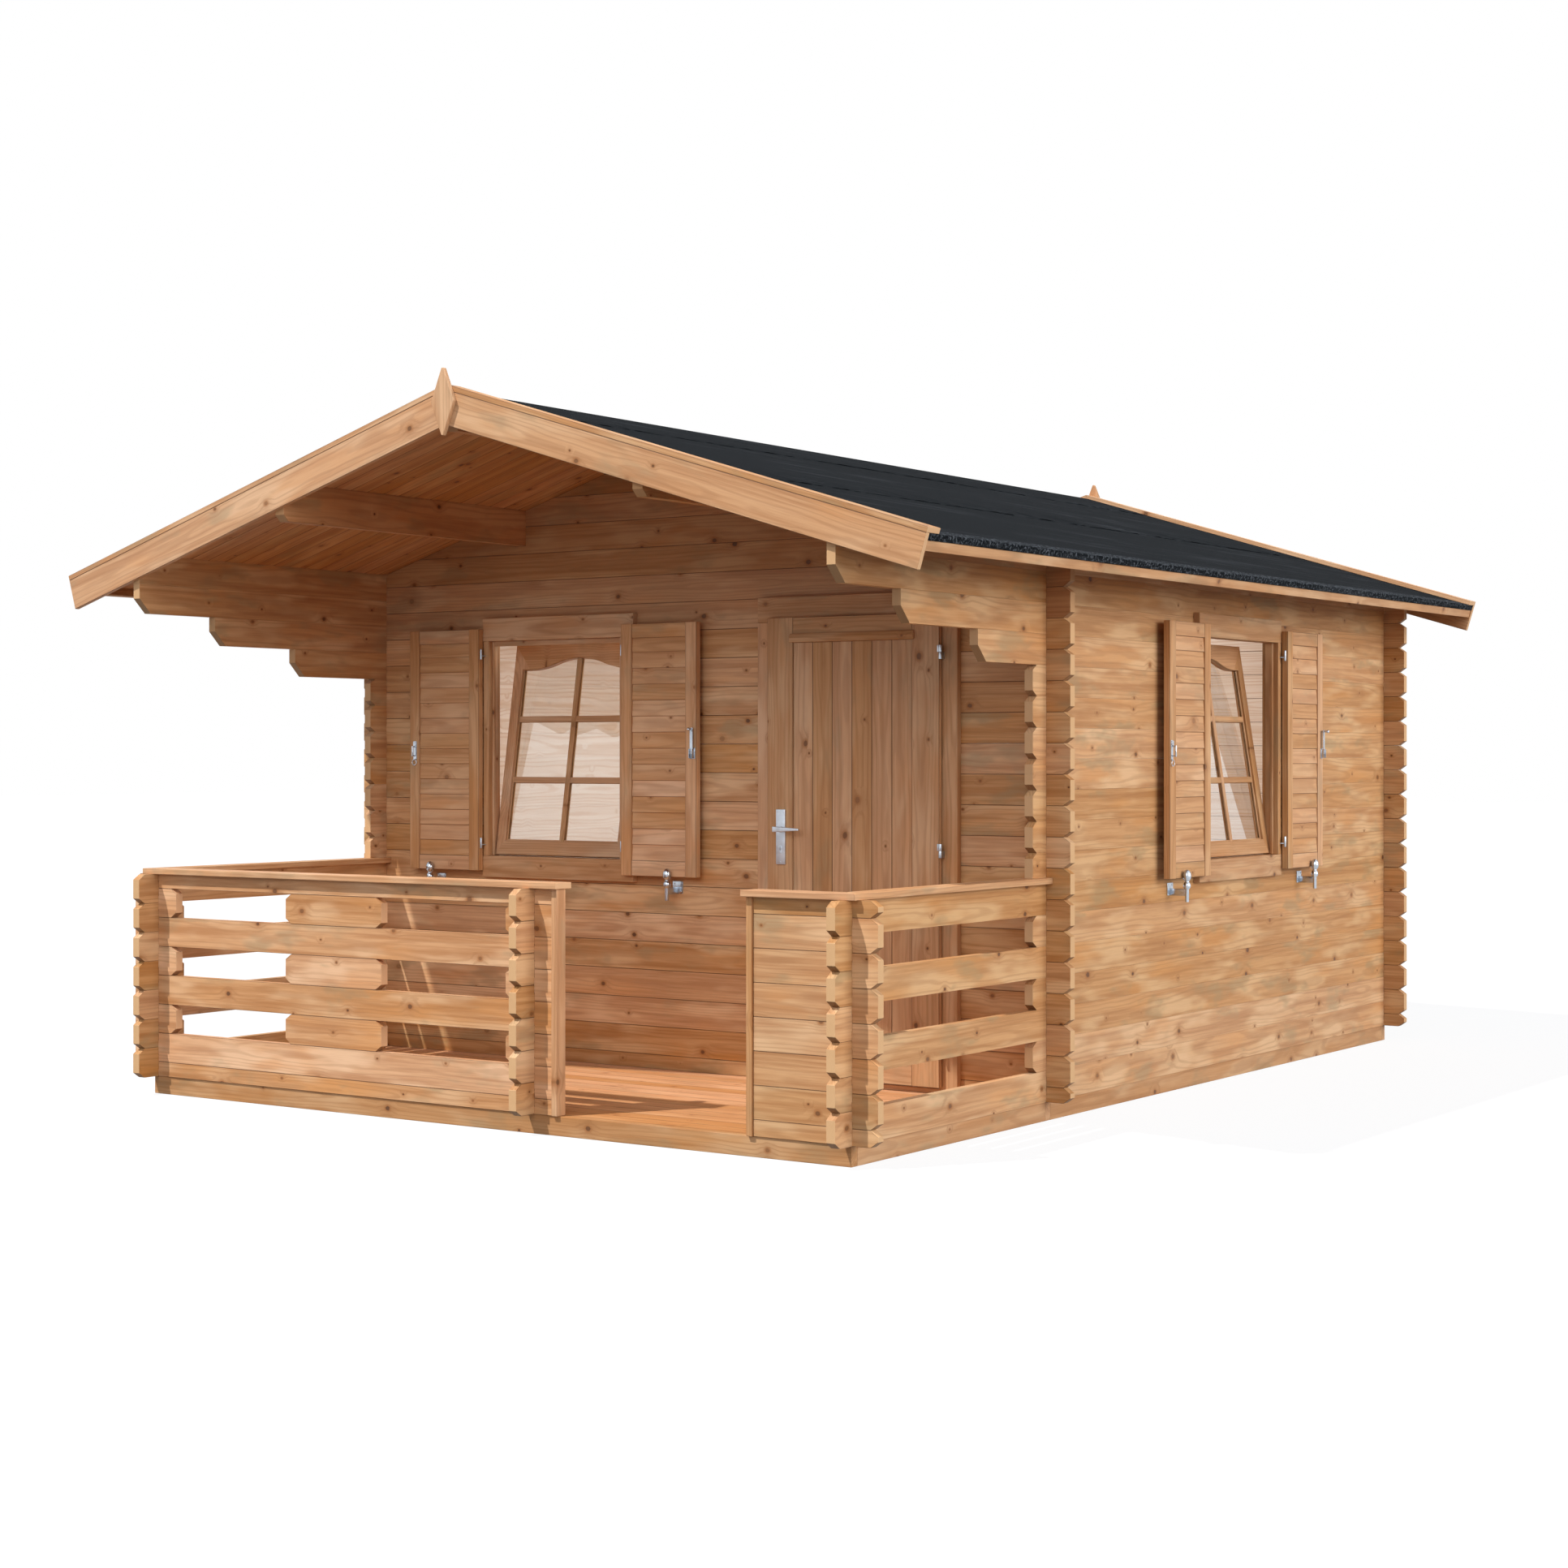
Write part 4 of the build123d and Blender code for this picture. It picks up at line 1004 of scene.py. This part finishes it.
class CABIN_OT_lock(bpy.types.Operator):
    """Lock plates, lever and door hinges."""
    bl_idname = "cabin.lock"
    bl_label = "Lock and hinges"
    lock_x, lever_z = -323, 1050
    faces = ((53, 1), (10, -1))
    plate_half, plate_low, plate_top, plate_thick = 21, 913.5, 1126.5, 8
    screws = ((-13, 1117), (13, 1117), (0, 923))
    screw_out, screw_r = 0.8, 0.0030
    boss_z, boss_out, boss_r = 978, 2.2, 0.0086
    skirt_half, skirt_low, skirt_top, skirt_out = 5, 955, 976, 2.0
    slot_half, slot_low, slot_top, slot_from, slot_out = 1.1, 966, 984, 1.6, 2.6
    grip_back, grip_reach, grip_half, grip_from, grip_out = 16, 104, 11, 22, 34
    tip_reach, tip_slim = 0.02, (1, 0.75, 0.36)
    neck_from, neck_out, neck_r = 0.6, 26, 0.0085
    collar_out, collar_r = 4, 0.0125
    spindle, spindle_r = (1, 62), 0.0045
    round_sides = 24
    round_angle = 30
    plate_edge, slot_edge, lever_edge, hinge_edge = 0.0012, 0.0003, 0.0022, 0.001

    def grip(self, lever, near, far):
        """The lever's grip: a bar whose far end is drawn down to a slim tip."""
        x, z = self.lock_x, self.lever_z
        DOOR_WALL.board(lever, x - self.grip_back, x + self.grip_reach, z - self.grip_half,
                        z + self.grip_half, near, far)
        tip = DOOR_WALL.at(x + self.grip_reach, z, (near + far) / 2)
        mesh = bmesh.from_edit_mesh(lever.piece.data)
        for vertex in mesh.verts:
            if vertex.select:
                vertex.select_set((vertex.co - tip).length < self.tip_reach)
        mesh.select_flush_mode()
        bmesh.update_edit_mesh(lever.piece.data)
        bpy.ops.transform.resize(value=self.tip_slim, center_override=tip)

    def execute(self, context):
        wall, x, z = DOOR_WALL, self.lock_x, self.lever_z
        plates = Boards("lock_plate_pair")
        slots = Boards("lock_keyholes")
        lever = Boards("lever_handle")
        for face, hand in self.faces:
            front = face + hand * self.plate_thick
            sunk = front - hand
            wall.board(plates, x - self.plate_half, x + self.plate_half, self.plate_low, self.plate_top,
                       face, front)
            wall.stud(plates, x, self.boss_z, sunk, front + hand * self.boss_out, self.boss_r,
                      self.round_sides)
            wall.board(plates, x - self.skirt_half, x + self.skirt_half, self.skirt_low, self.skirt_top, sunk,
                       front + hand * self.skirt_out)
            for dx, height in self.screws:
                wall.stud(plates, x + dx, height, sunk, front + hand * self.screw_out, self.screw_r)
            # A thin near-black plate over the keyhole, painted as the shade inside the hole
            wall.board(slots, x - self.slot_half, x + self.slot_half, self.slot_low, self.slot_top,
                       front + hand * self.slot_from, front + hand * self.slot_out)
            self.grip(lever, front + hand * self.grip_from, front + hand * self.grip_out)
            for out, radius in ((self.neck_out, self.neck_r), (self.collar_out, self.collar_r)):
                wall.stud(lever, x, z, front + hand * self.neck_from, front + hand * out, radius,
                          self.round_sides)
        wall.stud(lever, x, z, *self.spindle, self.spindle_r)
        plates = smooth(plates.done(self.plate_edge), self.round_angle)
        hang(plates, "door", "lock_metal", "door_lock_plates")
        hang(slots.done(self.slot_edge), "door", "lock_metal", coat="slot_dark")
        lever = smooth(lever.done(self.lever_edge, 3), self.round_angle)
        hang(lever, "lever", "lock_metal", "door_lever")
        for node, name, body in (("door_hinge_pins", "hinge_pin_set", "cabin"),
                                 ("door_hinge_knuckles", "hinge_knuckle_set", "door")):
            hang(smooth(soften(copy_of(node, name), self.hinge_edge)), body, "hinge_metal", node)
        return {"FINISHED"}


# Windows and shutters

class CABIN_OT_windows(bpy.types.Operator):
    """Window casings, linings, tilted sashes and glazing bars."""
    bl_idname = "cabin.windows"
    bl_label = "Windows"
    clear_half, clear_low, clear_top = 350, 912, 1817
    casing_wide, head_tall, apron_tall = 30, 96, 90
    board_ends = {"front": (-384, 420), "side": (-420, 384)}
    stop_out, stop_wide, stop_short = (-6, 6), 10, 2
    head_stop_low = 1795
    hinge_rise = 0.3
    bar_depths = ((20.4, 29), (7, 15.6))
    pane_half, pane_low, pane_high = 301, 60, 839
    bead_wide, bead_top, bead_lower = 7, 790, 2
    bead_play, bar_play, bar_short = 0.2, 0.3, 1
    bar_edge, sash_edge = 0.002, 0.002
    stile_from, rail_split, room_reach = 300, 1.1, 0.4

    def execute(self, context):
        sizes = context.scene.cabin_sizes
        frames = Boards("window_frame_boards")
        bars = Boards("window_bars")
        for place, wall in WINDOW_WALLS.items():
            self.frame(frames, wall, place)
            for depths in self.bar_depths:
                self.glazing(bars, wall, sizes.glazing_bar / MM, *depths)
        piece = frames.done(sizes.trim_edge)
        lay_grain(piece, "window_frames")
        hang(piece, "cabin", "frame_wood", "window_frames")
        piece = bars.done(self.bar_edge)
        lay_grain(piece, "window_bars")
        hang(piece, "cabin", "frame_wood")
        sash = soften(copy_of("window_sashes", "window_sash_pair"), self.sash_edge)
        bpy.ops.object.mode_set(mode="EDIT")
        bpy.ops.mesh.select_all(action="SELECT")
        bpy.ops.mesh.quads_convert_to_tris()
        bpy.ops.object.mode_set(mode="OBJECT")
        lay_grain(sash, "window_sashes", members=self.member)
        hang(sash, "cabin", "frame_wood", "window_sashes")
        glass = NODES["window_glass"]
        glass.data.materials.clear()
        glass.data.materials.append(paint("window_glass"))
        return {"FINISHED"}

    def frame(self, frames, wall, place):
        """Casing, lining, inner trim and stop beads round one window."""
        clear, low, top = self.clear_half, self.clear_low, self.clear_top
        casing, lining = clear + self.casing_wide, clear + LINING_THICK
        for hand in (-1, 1):
            wall.board(frames, hand * casing, hand * clear, low + JOINT, top - JOINT, *CASING)
            wall.board(frames, hand * lining, hand * clear, low, top, *LINING)
            wall.board(frames, hand * casing, hand * clear, low + JOINT, top - JOINT, *INNER_TRIM)
            wall.board(frames, hand * (clear - JOINT), hand * (clear - self.stop_wide), low + self.stop_short,
                       top - self.stop_short, *self.stop_out)
        near, far = self.board_ends[place]
        wall.board(frames, near, far, top, top + self.head_tall, *CASING)
        wall.board(frames, near, far, low - self.apron_tall, low, *CASING)
        for half, tall, out in ((lining, LINING_THICK, LINING), (casing, self.casing_wide, INNER_TRIM)):
            wall.board(frames, -half, half, top, top + tall, *out)
            wall.board(frames, -half, half, low - tall, low, *out)
        if place == "front":
            half = clear - self.stop_wide - JOINT
            wall.board(frames, -half, half, self.head_stop_low, top - JOINT, *self.stop_out)

    def glazing(self, bars, wall, bar, back, face):
        """Bars and beads on one side of the glass."""
        low, high, bead = self.pane_low, self.pane_high, self.pane_half - self.bead_wide
        foot, end, bead_face = low + self.bead_play, bead - JOINT, face - self.bead_lower
        self.leaning_bar(bars, wall, -bar / 2, bar / 2, low, high - self.bar_short, back, face)
        for hand in (-1, 1):
            self.leaning_bar(bars, wall, hand * bead, hand * self.pane_half, foot, self.bead_top, back,
                             bead_face)
        self.leaning_bar(bars, wall, -end, end, foot, low + self.bead_wide, back, bead_face)
        for share in (1 / 3, 2 / 3):
            a = low + (high - low) * share
            for hand in (-1, 1):
                self.leaning_bar(bars, wall, hand * (bar / 2 + self.bar_play), hand * end, a - bar / 2,
                                 a + bar / 2, back, face)

    def leaning_bar(self, bars, wall, x0, x1, a0, a1, d0, d1):
        """A bar on the tilted sash: along it, up it and out of it, in millimetres."""
        a, d = (a0 + a1) / 2, (d0 + d1) / 2
        z = self.clear_low + self.hinge_rise + a * math.cos(TILT) + d * math.sin(TILT)
        out = INNER_TRIM[0] - a * math.sin(TILT) + d * math.cos(TILT)
        wall.leaning(bars, (x0 + x1) / 2, z, out, abs(x1 - x0), a1 - a0, d1 - d0, TILT)

    def member(self, middle):
        """Which member of a sash a face belongs to."""
        wall = WINDOW_WALLS["side" if middle.x > SIDE - self.room_reach else "front"]
        x = (middle - wall.middle).dot(wall.along) / MM
        if abs(x) > self.stile_from:
            return 1 if x > 0 else STILES
        return STILES + (1 if middle.z < self.rail_split else 2)


class CABIN_OT_shutters(bpy.types.Operator):
    """Louvred shutters with their hinges."""
    bl_idname = "cabin.shutters"
    bl_label = "Shutters"
    leaves = {"front": ((-770, -380), (380, 760)), "side": ((-752, -380), (382, 760))}
    low, top = 850, 1867
    stile, bottom_rail, top_rail = 55, 62, 58
    stile_out, rail_out, slat_out = (30, 58), (30, 57.4), 48
    slats, top_slat, slat_thick, slat_lap, slat_play = 14, 57, 11, 2, 0.6
    slat_lean = math.radians(4)
    leaf_edge, hinge_edge = 0.0022, 0.0008
    hinge_places = (966, 1762)
    barrel_x, barrel_half, barrel_r, barrel_sides = 375, 22, 0.0046, 20
    strap, strap_rise, strap_out = (374, 381), (6, 12), (45, 51)
    pin_x, pin_drop, pin_out, pin_r = 366, 7, 26, 0.0022

    def execute(self, context):
        for place, wall in WINDOW_WALLS.items():
            for side, (x0, x1) in zip(("left", "right"), self.leaves[place]):
                piece = self.leaf(Boards(f"shutter_{place}_{side}"), wall, x0, x1)
                lay_grain(piece, piece.name)
                hang(piece, "cabin", "shutter_wood", "shutters")
        hinges = Boards("shutter_hinge_set")
        for wall in WINDOW_WALLS.values():
            for hand in (-1, 1):
                for z in self.hinge_places:
                    self.hinge(hinges, wall, hand, z)
        hang(smooth(hinges.done(self.hinge_edge)), "cabin", "hinge_metal", "shutter_hinges")
        return {"FINISHED"}

    def leaf(self, boards, wall, x0, x1):
        """Stiles, rails and overlapping slats."""
        for start, end in ((x0, x0 + self.stile), (x1 - self.stile, x1)):
            wall.board(boards, start, end, self.low, self.top, *self.stile_out)
        slats_low, slats_top = self.low + self.bottom_rail, self.top - self.top_rail
        for foot, head in ((self.low, slats_low), (slats_top, self.top)):
            wall.board(boards, x0 + self.stile + JOINT, x1 - self.stile - JOINT, foot, head, *self.rail_out)
        pitch = (slats_top - self.top_slat - slats_low) / (self.slats - 1)
        wide = x1 - x0 - 2 * (self.stile + self.slat_play)
        for k in range(self.slats):
            tall = self.top_slat if k == self.slats - 1 else pitch
            wall.leaning(boards, (x0 + x1) / 2, slats_low + k * pitch + tall / 2, self.slat_out, wide,
                         tall + self.slat_lap, self.slat_thick, self.slat_lean)
        return boards.done(self.leaf_edge)

    def hinge(self, hinges, wall, hand, z):
        """A slim barrel, a strap to the shutter's edge and a pin into the casing."""
        inner, outer = self.strap
        low, high = self.strap_rise
        wall.board(hinges, hand * inner, hand * outer, z + low, z + high, *self.strap_out)
        x, out = hand * self.barrel_x, self.slat_out
        hinges.pin(wall.at(x, z - self.barrel_half, out), wall.at(x, z + self.barrel_half, out),
                   self.barrel_r, self.barrel_sides)
        height = z - self.pin_drop
        hinges.pin(wall.at(x, height, out), wall.at(hand * self.pin_x, height, self.pin_out), self.pin_r)


class CABIN_OT_fittings(bpy.types.Operator):
    """Shutter catches, latches with a ring, and turn-up bars."""
    bl_idname = "cabin.fittings"
    bl_label = "Shutter fittings"
    catch_places, catch_z, catch_axis = (-638, 628), 806, 76
    plate_half, plate_thick = 25, 4
    arm_half, arm_low, arm_high = 2.5, 780, 808
    stem_foot = 756
    screw_off, screw_out, screw_r = 16, (3.5, 5.4), 0.0036
    ring_latch_x, turn_bar_x = -738, 744
    catch_edge, latch_edge = 0.0009, 0.0008

    # Height and radius of the turned stem and head
    turned_head = ((0.000, 0.0080), (0.050, 0.0080), (0.054, 0.0120), (0.060, 0.0145), (0.068, 0.0148),
                   (0.075, 0.0120), (0.080, 0.0085), (0.083, 0.0085), (0.087, 0.0125), (0.095, 0.0160),
                   (0.104, 0.0170), (0.113, 0.0160), (0.121, 0.0120), (0.126, 0.0075), (0.128, 0.0030))

    def execute(self, context):
        catches = Boards("shutter_catch_set")
        latches = Boards("shutter_latches")
        for wall in WINDOW_WALLS.values():
            for x in self.catch_places:
                self.catch(catches, wall, x)
            self.ring_latch(latches, wall, self.ring_latch_x)
            self.turn_bar(latches, wall, self.turn_bar_x)
        hang(smooth(catches.done(self.catch_edge)), "cabin", "catch_metal", "shutter_catches")
        hang(smooth(latches.done(self.latch_edge)), "cabin", "catch_metal")
        return {"FINISHED"}

    def catch(self, catches, wall, x):
        """A wall plate with four screws, an arm, and a turned stem and head."""
        z, half = self.catch_z, self.plate_half
        wall.board(catches, x - half, x + half, z - half, z + half, 0, self.plate_thick)
        wall.board(catches, x - self.arm_half, x + self.arm_half, self.arm_low, self.arm_high,
                   self.plate_thick, self.catch_axis)
        catches.turn_up(wall.at(x, self.stem_foot, self.catch_axis), self.turned_head)
        for dz in (-self.screw_off, self.screw_off):
            for dx in (-self.screw_off, self.screw_off):
                wall.stud(catches, x + dx, z + dz, *self.screw_out, self.screw_r)

    @staticmethod
    def ring_latch(latches, wall, x):
        """A narrow plate with a staple, and a ring that hangs from it."""
        low, top, half, face = 1318, 1396, 9, 58
        plate, boss, boss_half = face + 3, face + 7, 7
        staple, bar, overlap = (1334, 1372), 77, 3
        staple_r, bar_r, ring_r, ring_wire = 0.0030, 0.0032, 0.0120, 0.0018
        wall.board(latches, x - half, x + half, low, top, face, plate)
        for z in staple:
            wall.stud(latches, x, z, plate - 1, bar + 2, staple_r)
        latches.pin(wall.at(x, staple[0] - overlap, bar), wall.at(x, staple[1] + overlap, bar), bar_r)
        wall.board(latches, x - boss_half, x + boss_half, staple[1] + 4, top - overlap, plate, boss)
        latches.ring(wall.at(x, low - ring_r / MM, boss - 0.5), wall.out, ring_r, ring_wire)

    @staticmethod
    def turn_bar(latches, wall, x):
        """A bracket with two cheeks, a flat bar that turns up in it, and a pin with a ball at its head."""
        low, top, half, face = 1322, 1366, 12, 58
        plate, pivot, head = face + 3, 1350, 1440
        cheeks, cheek_thick, cheek_out = (-9, 7), 2, 15
        bar_half, axle_half, axle_out, pin_out = 7, 10, 8, 25
        axle_r, pin_r, ball_r, screw_r = 0.0030, 0.0040, 0.0068, 0.0034
        wall.board(latches, x - half, x + half, low, top, face, plate)
        for dx in cheeks:
            wall.board(latches, x + dx, x + dx + cheek_thick, low + 2, top - 4, plate, plate + cheek_out)
        axle = plate + axle_out
        latches.pin(wall.at(x - axle_half, pivot, axle), wall.at(x + axle_half, pivot, axle), axle_r)
        wall.board(latches, x - bar_half, x + bar_half, pivot - 8, head + 6, axle - 3, axle + 2)
        wall.stud(latches, x, head, plate - 1, plate + pin_out, pin_r)
        latches.ball(wall.at(x, head, plate + pin_out + 2), ball_r)
        for z in (low + 8, top - 8):
            wall.stud(latches, x, z, plate - 0.5, plate + 1.4, screw_r)


class CABIN_PT_pieces(bpy.types.Panel):
    """Lists the steps that dress the cabin, and its sizes and colours."""
    bl_idname = "CABIN_PT_pieces"
    bl_label = "Log cabin"
    bl_space_type = "VIEW_3D"
    bl_region_type = "UI"
    bl_category = "Cabin"

    def draw(self, context):
        for kind in STEPS:
            self.layout.operator(kind.bl_idname)
        for group in (context.scene.cabin_sizes, context.scene.cabin_colours):
            for key in group.__annotations__:
                self.layout.prop(group, key)


STEPS = (CABIN_OT_stage, CABIN_OT_logs, CABIN_OT_floors, CABIN_OT_roof, CABIN_OT_felt, CABIN_OT_door,
         CABIN_OT_lock, CABIN_OT_windows, CABIN_OT_shutters, CABIN_OT_fittings)
CLASSES = (CabinSizes, CabinColours, *STEPS, CABIN_PT_pieces)


def register():
    for kind in CLASSES:
        bpy.utils.register_class(kind)
    bpy.types.Scene.cabin_sizes = bpy.props.PointerProperty(type=CabinSizes)
    bpy.types.Scene.cabin_colours = bpy.props.PointerProperty(type=CabinColours)


def unregister():
    del bpy.types.Scene.cabin_colours
    del bpy.types.Scene.cabin_sizes
    for kind in reversed(CLASSES):
        bpy.utils.unregister_class(kind)


def main():
    register()
    for kind in STEPS:
        group, name = kind.bl_idname.split(".")
        getattr(getattr(bpy.ops, group), name)()


if __name__ == "__main__":
    main()
